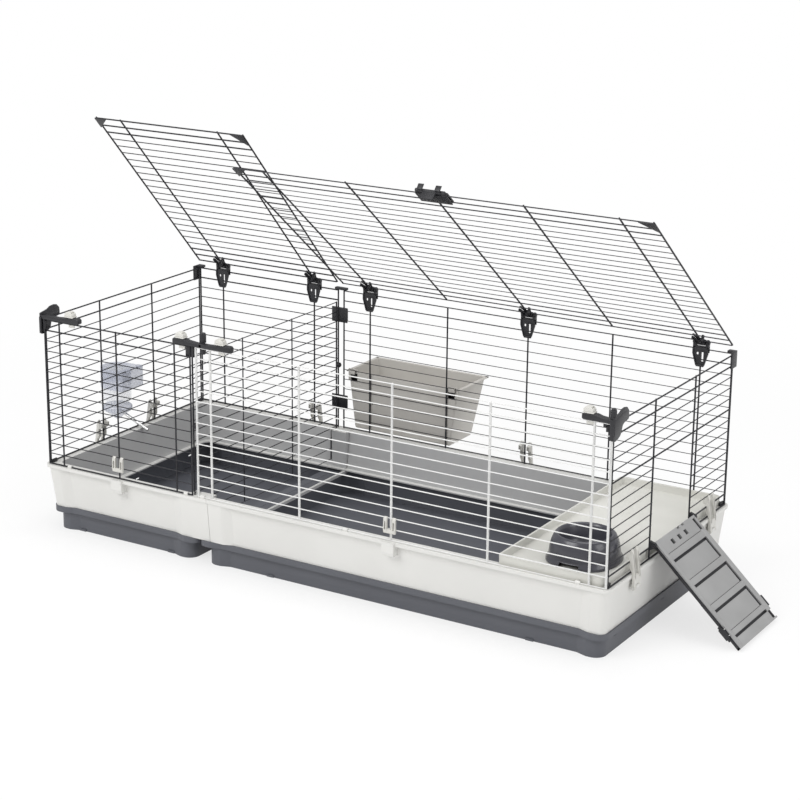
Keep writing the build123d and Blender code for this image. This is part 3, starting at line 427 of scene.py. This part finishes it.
def turned(profile, place=Matrix.Identity(4), steps=64):
    # a closed profile of radius and height, spun round the upright axis
    deselectAll()
    bpy.ops.mesh.primitive_circle_add(vertices=len(profile), radius=1, fill_type="NOTHING")
    piece = bpy.context.object
    for vertex, (radius, height) in zip(piece.data.vertices, profile):
        vertex.co = (radius, 0, height)
    bpy.ops.object.mode_set(mode="EDIT")
    bpy.ops.mesh.select_all(action="SELECT")
    bpy.ops.mesh.spin(steps=steps, angle=2 * math.pi, center=(0, 0, 0), axis=(0, 0, 1))
    bpy.ops.mesh.select_all(action="SELECT")
    bpy.ops.mesh.remove_doubles(threshold=0.001)
    bpy.ops.mesh.normals_make_consistent(inside=False)
    bpy.ops.object.mode_set(mode="OBJECT")
    piece.data.transform(place)
    return piece


def cutAway(piece, cutters):
    # takes the cutters' shapes out of a piece
    for cutter in cutters:
        cut = piece.modifiers.new("cut", "BOOLEAN")
        cut.operation = "DIFFERENCE"
        cut.solver = "EXACT"
        cut.object = cutter
        deselectAll()
        piece.select_set(True)
        bpy.context.view_layer.objects.active = piece
        bpy.ops.object.modifier_apply(modifier="cut")
        bpy.data.objects.remove(cutter)
    return piece


def made(parts, name, slot, body, *replaced, smooth=35):
    # parts in millimetres become one piece in the frame's metres
    piece = joined(parts, name)
    piece.data.transform(Matrix.Scale(mm, 4))
    deselectAll()
    piece.select_set(True)
    bpy.context.view_layer.objects.active = piece
    bpy.ops.object.shade_smooth_by_angle(angle=math.radians(smooth))
    return finished(piece, slot, body, *replaced)


def moved(x, y, z):
    return Matrix.Translation((x, y, z))


# outline in Y and Z, pushed along X
alongX = Matrix(((0, 0, 1, 0), (1, 0, 0, 0), (0, 1, 0, 0), (0, 0, 0, 1)))
# outline in X and Z, pushed towards the front
alongY = Matrix(((1, 0, 0, 0), (0, 0, -1, 0), (0, 1, 0, 0), (0, 0, 0, 1)))
# radius that closes a turned shape at its axis
hub = 0.01


# slots that make open loops of the clips' ears
ears = {"centre": 10.3, "slot": 1.7, "depth": 18, "low": 146, "doorLow": 181, "high": 198}
clipPlaces = {
    "clip_left_front": (-706, -97), "clip_left_back": (-706, 97),
    "clip_right_front": (706, -180), "clip_right_back": (706, 196),
    "clip_back_small": (-366, 296), "clip_back_large": (209, 296),
    "small_door_ears": (-499, -299), "large_door_ears": (209, -299),
}
for nodeName, (x, y) in clipPlaces.items():
    onEnd = abs(x) > 700
    low = ears["doorLow"] if "door" in nodeName else ears["low"]
    for side in (-1, 1):
        shift = side * ears["centre"]
        middle = (x, y + shift) if onEnd else (x + shift, y)
        reach = (ears["depth"], ears["slot"]) if onEnd else (ears["slot"], ears["depth"])
        slot = slab((middle[0] - reach[0], middle[1] - reach[1], low), (middle[0] + reach[0], middle[1] + reach[1], ears["high"]))
        slot.data.transform(Matrix.Scale(mm, 4))
        cutAway(easedPieces[nodeName], [slot])


# roof hinges: a clip with a window under a clamp with two spread fins
hinge = {
    "wallTop": 495.3, "pinHeight": 508, "wallPlace": 292, "knuckle": 5, "pin": 2.5, "ear": 11, "half": 18,
    "front": 287, "face": 290.2, "lipFront": 293.7, "back": 297, "low": 458, "footHalf": 10, "ribOut": 1.8,
    "reach": 30.0, "armGap": 1.6, "arm": 3.0,
}
hingePlaces = {"left": (-632, -366), "right": (-209, 209, 627)}
half, foot, low, high = hinge["half"], hinge["footHalf"], hinge["low"], hinge["wallTop"]
front, back, ribFront = hinge["front"], hinge["back"], hinge["front"] - hinge["ribOut"]
hingeParts = []
for x in hingePlaces["left"] + hingePlaces["right"]:
    outline = [(x - foot, low), (x - foot + 3, low - 3), (x + foot - 3, low - 3), (x + foot, low),
               (x + half, high - 12), (x + half, high + 1), (x - half, high + 1), (x - half, high - 12)]
    shield = plate(outline, -hinge["face"] - 0.2, -front, alongY, 0.7)
    window = slab((x + 1.5, 280, low + 8), (x + 7.5, 295, high - 8))
    small = slab((x - 9, 280, high - 15), (x - 4, 295, high - 9))
    hingeParts.append(cutAway(shield, [window, small]))
    for side in (-1, 1):
        edge = [(x + side * foot, low - 1), (x + side * half, high - 12), (x + side * half, high),
                (x + side * (half - 3), high), (x + side * (half - 3), high - 12), (x + side * (foot - 3), low - 1)]
        hingeParts.append(plate(edge[::-side], -hinge["face"], -ribFront, alongY, 0.6))
        a, b = sorted((x + side * hinge["ear"], x + side * half))
        hingeParts.append(slab((a, front, high), (b, back, hinge["pinHeight"]), rounding=0.8))
        hingeParts.append(wire((a, hinge["wallPlace"], hinge["pinHeight"]), (b, hinge["wallPlace"], hinge["pinHeight"]),
                               hinge["knuckle"], 24))
    hingeParts.append(slab((x - foot + 1, ribFront, low - 3.5), (x + foot - 1, hinge["face"], low + 1.5), rounding=1.2, segments=3))
    hingeParts.append(slab((x - half, front, high), (x + half, back, high + 4), rounding=1.0))
    hingeParts.append(slab((x - half, hinge["lipFront"], high - 10), (x + half, back, high + 1), rounding=1.0))
    hingeParts.append(slab((x + 2, front - 2.2, high - 7), (x + half - 2, front + 1, high + 3), rounding=0.8))
made(hingeParts, "hingeClips", "black_plastic", "base", "hinge_clips")

reach, gap = hinge["reach"], hinge["armGap"]
grip = gap + hinge["arm"]
for side in ("left", "right"):
    roofPlace = roofMatrix(side)
    roofPlace.translation = Vector((0, cage["longWall"], cage["hingeHeight"]))
    clampParts = []
    for x in hingePlaces[side]:
        fins = [(x - 10, 1), (x + 10, 1), (x + 7.5, 9), (x + 14, reach - 1), (x + 11.5, reach + 2), (x + 8, reach),
                (x + 2.5, 13), (x - 2.5, 13), (x - 8, reach), (x - 11.5, reach + 2), (x - 14, reach - 1), (x - 7.5, 9)]
        clampParts.append(plate(fins, gap, grip, roofPlace, 0.5))
        clampParts.append(plate(fins, -grip, -gap, roofPlace, 0.5))
        for turn in (-1, 1):
            rib = [(x + turn * 6.2, 8), (x + turn * 8.4, 8), (x + turn * 13, reach), (x + turn * 10.6, reach)]
            clampParts.append(plate(rib[::turn], gap, grip + 2.6, roofPlace, 0.5))
        clampParts.append(slab((x - 3, 3, -grip), (x + 3, 9, grip + 2), roofPlace, 0.6))
        for reachOut, radius, sides in ((10.6, hinge["knuckle"], 24), (half, hinge["pin"], 16)):
            clampParts.append(wire(roofPlace @ Vector((x - reachOut, 0, 0)), roofPlace @ Vector((x + reachOut, 0, 0)), radius, sides))
    made(clampParts, side + "RoofClamps", "black_plastic", side + "_roof", side + "_roof_clamps")
print("stage: hinges and clips made")


# corner brackets
bracket = {"wallTop": 495.3, "front": 299, "back": 284, "armTop": 508.3, "outside": 703.7, "plate": 4, "pegTop": 525}


def armOutline(inner, corner):
    # an arm seen from the front, thin near the corner and deeper under its button
    low, high = bracket["wallTop"], bracket["armTop"]
    side = 1 if corner > inner else -1
    points = [(inner, low + 2), (inner + side * 3, low), (corner, low), (corner, high - 4), (inner + side * 62, high - 5),
              (inner + side * 40, high - 3), (inner + side * 30, high), (inner + side * 4, high), (inner, high - 3)]
    return points if side > 0 else points[::-1]


def wing(outer, inner):
    # the rounded plate on the outside of a corner, with a raised middle
    low = bracket["wallTop"] - 33
    outline = [(-299, low), (-295, low - 3), (-289, low - 3), (-279, low - 1), (-270, low + 3), (-265, low + 9), (-262, low + 20),
               (-256, low + 25), (-247, low + 27), (-236, low + 29), (-233, low + 36), (-234, low + 46), (-242, low + 54),
               (-252, low + 56), (-264, low + 55), (-275, low + 50), (-299, low + 46)]
    low, high = sorted((outer, inner))
    face = plate(outline, low, high, alongX, 1.2)
    rib = plate([(y * 0.96 - 10.5, (z - 490) * 0.7 + 490) for y, z in outline], low - 0.6, high + 0.6, alongX, 0.5)
    return [face, rib]


buttonPlaces = {"latch_small_left": -624, "latch_small_right": -320, "latch_large_left": -216, "latch_large_right": 652}


def arm(inner, corner, latch):
    # an arm with a slot in which the latch's tongue slides up
    x = buttonPlaces[latch]
    shape = plate(armOutline(inner, corner), bracket["back"], bracket["front"], alongY, 1.5, 3)
    return cutAway(shape, [slab((x - 8.6, -290.8, 488), (x + 8.6, -286.4, 515))])


cornerLeft = -bracket["outside"]
parts = wing(cornerLeft - bracket["plate"], cornerLeft)
parts.append(arm(-598, cornerLeft, "latch_small_left"))
parts.append(slab((cornerLeft - 4, -300.5, 462), (cornerLeft + 2, -297, 500), rounding=0.8))
parts.append(slab((cornerLeft + 7, -299, 466), (cornerLeft + 10, -294, 497), rounding=0.8))
made(parts, "bracketFrontLeft", "black_plastic", "base", "bracket_front_left")

cornerRight = bracket["outside"]
parts = wing(cornerRight, cornerRight + bracket["plate"])
parts.append(arm(638, cornerRight, "latch_large_right"))
parts.append(slab((cornerRight - 5, -300.5, 462), (cornerRight + 4, -297, 504), rounding=0.8))
parts.append(slab((680, -290, 484), (690, -287, 496), rounding=0.8))
parts.append(slab((686, -290, 475), (691, -287, 490), rounding=0.8))
peg = [(hub, 500), (6.2, 500), (6.2, 521), (5.2, 521.6), (5.2, 524), (4.4, bracket["pegTop"]), (hub, bracket["pegTop"])]
parts.append(turned(peg, moved(702, -291, 0), 24))
made(parts, "bracketFrontRight", "black_plastic", "base", "bracket_front_right")

parts = [arm(-339, -262, "latch_small_right"), arm(-187, -270, "latch_large_left")]
parts.append(slab((-311, -290, 468.3), (-290, -280, 497), rounding=1.5))
for x in (-307, -302, -297):
    parts.append(slab((x, -290.1, 470), (x + 1.6, -289, 495)))
peg = [(hub, 478), (5, 478), (6.6, 480), (6.6, 492), (5.2, 493), (5.2, 503), (7.4, 504), (7.4, 521), (6, 524.5),
       (hub, bracket["pegTop"])]
parts.append(turned(peg, moved(-269, -283, 0), 24))
made(parts, "bracketFrontMiddle", "black_plastic", "base", "bracket_front_middle")

# latch buttons: a rounded pad with a finger groove, on a tongue behind the door's top wire
button = {"half": 11.5, "front": -299.5, "back": -283.5, "low": 508.8, "lip": 511.5, "top": 522}
wide, high = button["half"], button["top"]
pad = [(-wide, button["lip"]), (wide - 1, button["lip"]), (wide - 2, high - 4.5), (wide - 6, high - 1.5), (0, high),
       (-wide + 4, high - 1), (-wide + 1, high - 4)]
for node, x in buttonPlaces.items():
    body = plate([(x + u, z) for u, z in pad], -button["back"], -button["front"], alongY, 1.6, 3)
    groove = slab((x + 4.5, button["front"] + 2.5, high - 7), (x + 7.6, button["back"] - 2.5, high + 4))
    body = cutAway(body, [groove])
    lip = slab((x - wide - 0.5, button["front"] - 0.5, button["low"]),
               (x + wide + 0.5, button["back"], button["lip"] + 0.3), rounding=1.0)
    tongue = slab((x - 8, -290, 484), (x + 8, -287.2, button["low"] + 1), rounding=0.8)
    block = slab((x - 5, -290.2, 484), (x + 5, -284, 486.8), rounding=0.8)
    name = node.split("_")
    made([body, lip, tongue, block], "latch" + name[1].title() + name[2].title(), "latch_plastic", node, node)
print("stage: brackets made")


# food bowl: a flared foot, a domed wall and a wide mouth
bowl = {"x": 593, "y": -170, "floor": 158.2, "squareness": 0.06}
profile = [(hub, 12), (38, 12), (44, 16), (48, 30), (52, 50), (54, 54.5), (57, 56.6), (60.5, 56), (64, 52.5), (69, 42),
           (72.5, 28), (74, 16), (75, 11), (78.5, 7), (80, 4), (80, 0.6), (78.5, 0), (74, 0), (70, 9), (hub, 9)]
dish = turned(profile, steps=72)
# the plan is a little squarer than a circle
for vertex in dish.data.vertices:
    radius = math.hypot(vertex.co.x, vertex.co.y)
    if radius > 1:
        turn = math.atan2(vertex.co.y, vertex.co.x)
        share = min(max((radius - 50) / 30, 0), 1)
        grow = 1 - bowl["squareness"] * share * (1 + math.cos(4 * turn)) / 2
        vertex.co.x *= grow
        vertex.co.y *= grow
dish.data.transform(moved(bowl["x"], bowl["y"], bowl["floor"]))
notch = slab((bowl["x"] - 22, bowl["y"] - 90, bowl["floor"] - 5), (bowl["x"] + 22, bowl["y"] - 66, bowl["floor"] + 10))
dish = cutAway(dish, [notch])
made([dish], "foodBowl", "bowl_plastic", "bowl", "bowl", smooth=50)


# ramp, drawn across and down its own slope; one dark grey plastic, its top painted lighter grey as a painted sheen and
# its sides and underside painted black as painted shade
ramp = {
    "slope": 43, "length": 267, "half": 95, "pivot": (712, 0, 187), "base": 1.5, "top": 5.4, "left": 84, "right": 78,
    "channels": (47, 112, 176, 239), "channel": 6, "lines": (31, 97, 162, 226), "line": 0.9, "strip": 10,
}
latch = {"inner": 83.5, "outer": 98, "start": 215.8, "end": 232.8, "room": 3.3}
tilt = math.radians(ramp["slope"])
down = Vector((math.cos(tilt), 0, -math.sin(tilt)))
facing = Vector((math.sin(tilt), 0, math.cos(tilt)))
across = down.cross(facing)
rampPlace = Matrix.Translation(ramp["pivot"]) @ Matrix((across, down, facing)).transposed().to_4x4()
# sign of the ramp's front edge
frontSide = -1 if across.y > 0 else 1
length, half = ramp["length"], ramp["half"]


def rampSlab(low, high, rounding=0.0):
    # one block of the ramp: across from front to back, then down the slope, then up from it
    a, b = sorted((frontSide * -low[0], frontSide * -high[0]))
    return slab((a, low[1], low[2]), (b, high[1], high[2]), rampPlace, rounding)


def latchPocket(side):
    # the room that a side latch slides in
    return rampSlab((side * latch["inner"], latch["start"], -latch["room"]), (side * latch["outer"], latch["end"], latch["room"]))


base, top = ramp["base"], ramp["top"]
front, back = -ramp["left"], ramp["right"]
deck = [cutAway(rampSlab((-half, -4, base), (front, length, top), 0.5), [latchPocket(-1)]),
        cutAway(rampSlab((back, 30, base), (half, length - 22, top), 0.5), [latchPocket(1)])]
deck.append(rampSlab((back, -4, base), (half, 2, top), 0.5))
deck.append(rampSlab((half - 7, 0, base), (half, 32, top), 0.5))
head = rampSlab((front, -4, base), (back, ramp["lines"][0], top), 0.4)
holes = [rampSlab((u - 6, 10, base - 3), (u + 6, 21, top + 3)) for u in (-38, -6, 26)]
holes += [rampSlab((u - 5, -6, base - 3), (u + 5, 1, top + 3)) for u in (12, 34)]
deck.append(cutAway(head, holes))
ends = list(ramp["lines"][1:]) + [length]
deck.append(rampSlab((front, ramp["lines"][0] + ramp["line"], base), (back, ramp["channels"][0], top), 0.4))
for k, (start, end) in enumerate(zip(ramp["channels"], ends)):
    last = k == len(ramp["channels"]) - 1
    strip = 0 if last else ramp["strip"]
    deck.append(rampSlab((front, start + ramp["channel"], base), (back - strip, end, top), 0.4))
    if not last:
        deck.append(rampSlab((front, end + ramp["line"], base), (back, ramp["channels"][k + 1], top), 0.4))
deck.append(rampSlab((back, length - 4, base), (half, length, top), 0.5))
# the deck's lighter grey is a painted sheen on the ramp's top over its dark grey plastic
made(deck, "rampDeck", "ramp_plastic", "ramp", "ramp_deck")

board = rampSlab((-half + 6, 0, -3), (half - 6, length - 24, base), 0.4)
rails = [cutAway(board, [latchPocket(-1), latchPocket(1)]), rampSlab((-half + 6, length - 24, -3), (back, length, base), 0.4)]
for side in (-1, 1):
    a, b = sorted((side * (half - 6), side * half))
    rails.append(cutAway(rampSlab((a, -5, -6), (b, length, base), 0.8), [latchPocket(side)]))
    for start, end in ((60, 118), (150, 205)):
        a, b = sorted((side * half, side * (half + 1.2)))
        rails.append(rampSlab((a, start, -5.5), (b, end, 1), 0.5))
    pinEnds = [rampPlace @ Vector((side * reach, 0, 0)) for reach in (half - 2, half + 8)]
    rails.append(wire(pinEnds[0], pinEnds[1], 2.9, 20))
rails.append(rampSlab((-half, length - 5, -6), (half, length + 0.2, base), 0.8))
# black rails: painted shade on the ramp's sides and underside, which are dark grey plastic
made(rails, "rampRails", "black_plastic", "ramp", "ramp_rails")

# side latches: a flat bolt with a finger grip outside
for name, side in (("ramp_latch_front", -1), ("ramp_latch_back", 1)):
    bolt = rampSlab((side * 89.8, 217.3, -2.7), (side * 101, 231.3, 2.7), 0.6)
    grip = rampSlab((side * 100.4, 211, -6), (side * 106.5, 238, 3), 1.6)
    tab = rampSlab((side * 100.4, 206, -5), (side * 103, 243, 0), 0.8)
    made([bolt, grip, tab], "rampLatch" + name.split("_")[2].title(), slotOf[name], name, name)
print("stage: ramp made")


# drinking bottle
bottle = {"x": -752, "y": 20, "radius": 34, "capLow": 171, "low": 205, "high": 296, "ribs": 28}
x, y, r = bottle["x"], bottle["y"], bottle["radius"]
capLow, low, high = bottle["capLow"], bottle["low"], bottle["high"]
shell = [(r - 8, low), (r - 6, low), (r - 6, low + 7), (r - 3, low + 10), (r, low + 14), (r, low + 35), (r - 1.2, low + 38),
         (r - 1.2, low + 43), (r, low + 46), (r, high - 10), (r - 3, high - 4), (r - 10, high), (hub, high),
         (hub, high - 1.6), (r - 10.6, high - 1.6), (r - 4.4, high - 5.2), (r - 1.6, high - 11), (r - 1.6, low + 15),
         (r - 8, low + 8)]
made([turned(shell, moved(x, y, 0), 56)], "bottleBody", "bottle_plastic", "bottle", "bottle_body", smooth=50)
cap = [(hub, capLow), (6, capLow), (9, capLow + 2), (13, capLow + 7), (20, capLow + 13), (r - 2, capLow + 21),
       (r, capLow + 24), (r, low - 2), (r - 1.5, low), (hub, low)]
capParts = [turned(cap, moved(x, y, 0), 48)]
for k in range(bottle["ribs"]):
    turn = 2 * math.pi * k / bottle["ribs"]
    rib = slab((r - 0.6, -1.1, capLow + 23.5), (r + 0.9, 1.1, low - 1.5), rounding=0.4, segments=1)
    rib.data.transform(moved(x, y, 0) @ Matrix.Rotation(turn, 4, "Z"))
    capParts.append(rib)
made(capParts, "bottleCap", "bottle_cap_plastic", "bottle", "bottle_cap")

# hay bin: a thin tapered trough with a folded rim
hay = {
    "left": -271, "right": 28, "back": 426, "wall": 293.9, "low": 160, "high": 300, "taper": 18, "backTaper": 30,
    "thick": 2.2, "lip": 6, "rimLow": 297.4,
}


def binCorners(taper, backTaper, shrink):
    # four corners pulled in by the taper and by the wall's thickness
    left, right = hay["left"] + taper + shrink, hay["right"] - taper - shrink
    near, far = hay["wall"] + shrink, hay["back"] - backTaper - shrink
    return [(left, near), (right, near), (right, far), (left, far)]


def tapered(shrink, low, high):
    # a block with the bin's slopes
    bottom = binCorners(hay["taper"], hay["backTaper"], shrink)
    topPoints = binCorners(0, 0, shrink)
    piece = plate(bottom, low, high)
    for vertex in piece.data.vertices:
        if vertex.co.z > (low + high) / 2:
            here = Vector(vertex.co.xy)
            nearest = min(range(4), key=lambda corner: (here - Vector(bottom[corner])).length)
            vertex.co.x, vertex.co.y = topPoints[nearest]
    return piece


trough = rounded(tapered(0, hay["low"], hay["high"]), 5, 4)
trough = cutAway(trough, [rounded(tapered(hay["thick"], hay["low"] + hay["thick"], hay["high"] + 8), 4, 4)])
left, right, back, lip = hay["left"], hay["right"], hay["back"], hay["lip"]
rim = []
for low, high in (((left - lip, hay["wall"]), (left + 2, back + lip)), ((right - 2, hay["wall"]), (right + lip, back + lip)),
                  ((left - lip, back - 2), (right + lip, back + lip))):
    rim.append(slab((*low, hay["rimLow"]), (*high, hay["high"]), rounding=0.8))
# hooks over a wire: a strap up the wall, a bridge and a nose inside
hook = {"wide": 26, "inset": 5, "low": 276, "noseLow": 293.5, "bridgeLow": 302.5, "top": 305.5, "inside": 287.1, "outside": 296.4}
hooks = []
for start in (left, right - hook["wide"]):
    a, b = start + hook["inset"], start + hook["wide"] - hook["inset"]
    hooks.append(slab((start, hay["wall"], hook["low"]), (start + hook["wide"], hook["outside"], hook["top"]), rounding=0.7))
    hooks.append(slab((a, hook["inside"], hook["bridgeLow"]), (b, hook["outside"], hook["top"]), rounding=0.7))
    hooks.append(slab((a, hook["inside"], hook["noseLow"]), (b, hook["inside"] + 3, hook["top"]), rounding=0.7))
made([trough] + rim + hooks, "hayBin", "bin_plastic", "hay_bin", "hay_bin")
print("stage: bottle, bowl and bin made")


# stage, camera and lights
studio = {
    "cameraPlace": (2.3487, -3.7909, 1.7252), "turn": 0.544878, "down": 0.299467, "roll": 0.009956, "lens": 95.715,
    "floorWhite": 0.7, "fadeFrom": 0.6, "fadeTo": 2.2, "worldLight": 0.55,
}
cameraData = bpy.data.cameras.new("photoCamera")
cameraData.sensor_width = 36
cameraData.lens = studio["lens"]
cameraData.clip_end = 100
camera = bpy.data.objects.new("photoCamera", cameraData)
bpy.context.collection.objects.link(camera)
camera.matrix_world = (
    Matrix.Translation(Vector(studio["cameraPlace"]))
    @ Matrix.Rotation(studio["turn"], 4, "Z")
    @ Matrix.Rotation(math.pi / 2 - studio["down"], 4, "X")
    @ Matrix.Rotation(studio["roll"], 4, "Z")
)
bpy.context.scene.camera = camera

# the floor shows white, with a faint shadow near the cage
deselectAll()
bpy.ops.mesh.primitive_plane_add(size=60, location=(0, 0, 0))
floor = bpy.context.object
floor.name = "floor"
floorMaterial, tree, shader = newMaterial("floor")
shader.inputs["Base Color"].default_value = (0.92, 0.92, 0.92, 1)
shader.inputs["Roughness"].default_value = 0.9
white = tree.nodes.new("ShaderNodeEmission")
rays = tree.nodes.new("ShaderNodeLightPath")
seenBy = rays.outputs["Is Camera Ray"]
for other in ("Is Glossy Ray", "Is Transmission Ray"):
    seenBy = mathNode(tree, "MAXIMUM", seenBy, rays.outputs[other])
spot = tree.nodes.new("ShaderNodeTexCoord")
away = tree.nodes.new("ShaderNodeVectorMath")
away.operation = "LENGTH"
tree.links.new(spot.outputs["Object"], away.inputs[0])
fade = tree.nodes.new("ShaderNodeMapRange")
fade.inputs["From Min"].default_value = studio["fadeFrom"]
fade.inputs["From Max"].default_value = studio["fadeTo"]
fade.inputs["To Min"].default_value = studio["floorWhite"]
fade.inputs["To Max"].default_value = 1.0
tree.links.new(away.outputs["Value"], fade.inputs["Value"])
share = mathNode(tree, "MULTIPLY", seenBy, fade.outputs["Result"])
blendIn = tree.nodes.new("ShaderNodeMixShader")
tree.links.new(share, blendIn.inputs["Fac"])
tree.links.new(shader.outputs["BSDF"], blendIn.inputs[1])
tree.links.new(white.outputs["Emission"], blendIn.inputs[2])
tree.links.new(blendIn.outputs["Shader"], tree.nodes["Material Output"].inputs["Surface"])
floor.data.materials.append(floorMaterial)

# the background is white where it is seen, and softer as a light
world = bpy.data.worlds.new("studio")
bpy.context.scene.world = world
world.use_nodes = True
tree = world.node_tree
background = tree.nodes["Background"]
paths = tree.nodes.new("ShaderNodeLightPath")
seen = mathNode(tree, "MAXIMUM", paths.outputs["Is Camera Ray"], paths.outputs["Is Transmission Ray"])
level = tree.nodes.new("ShaderNodeMapRange")
level.inputs["To Min"].default_value = studio["worldLight"]
level.inputs["To Max"].default_value = 1.0
tree.links.new(seen, level.inputs["Value"])
tree.links.new(level.outputs["Result"], background.inputs["Strength"])
background.inputs["Color"].default_value = (1, 1, 1, 1)


def areaLight(name, place, aim, size, power):
    data = bpy.data.lights.new(name, "AREA")
    data.size = size
    data.energy = power
    lamp = bpy.data.objects.new(name, data)
    bpy.context.collection.objects.link(lamp)
    lamp.location = place
    lamp.rotation_mode = "QUATERNION"
    lamp.rotation_quaternion = (Vector(aim) - Vector(place)).to_track_quat("-Z", "Y")
    return lamp


areaLight("keyLight", (-1.5, -3.5, 3.2), (0, 0, 0.2), 2.5, 90)
areaLight("topLight", (0.5, 0.5, 4.5), (0, 0, 0.2), 3.5, 80)
areaLight("sideLight", (4.0, -0.5, 2.0), (0, 0, 0.3), 2.0, 30)
bpy.context.scene.view_settings.view_transform = "Standard"

print("stage: done")
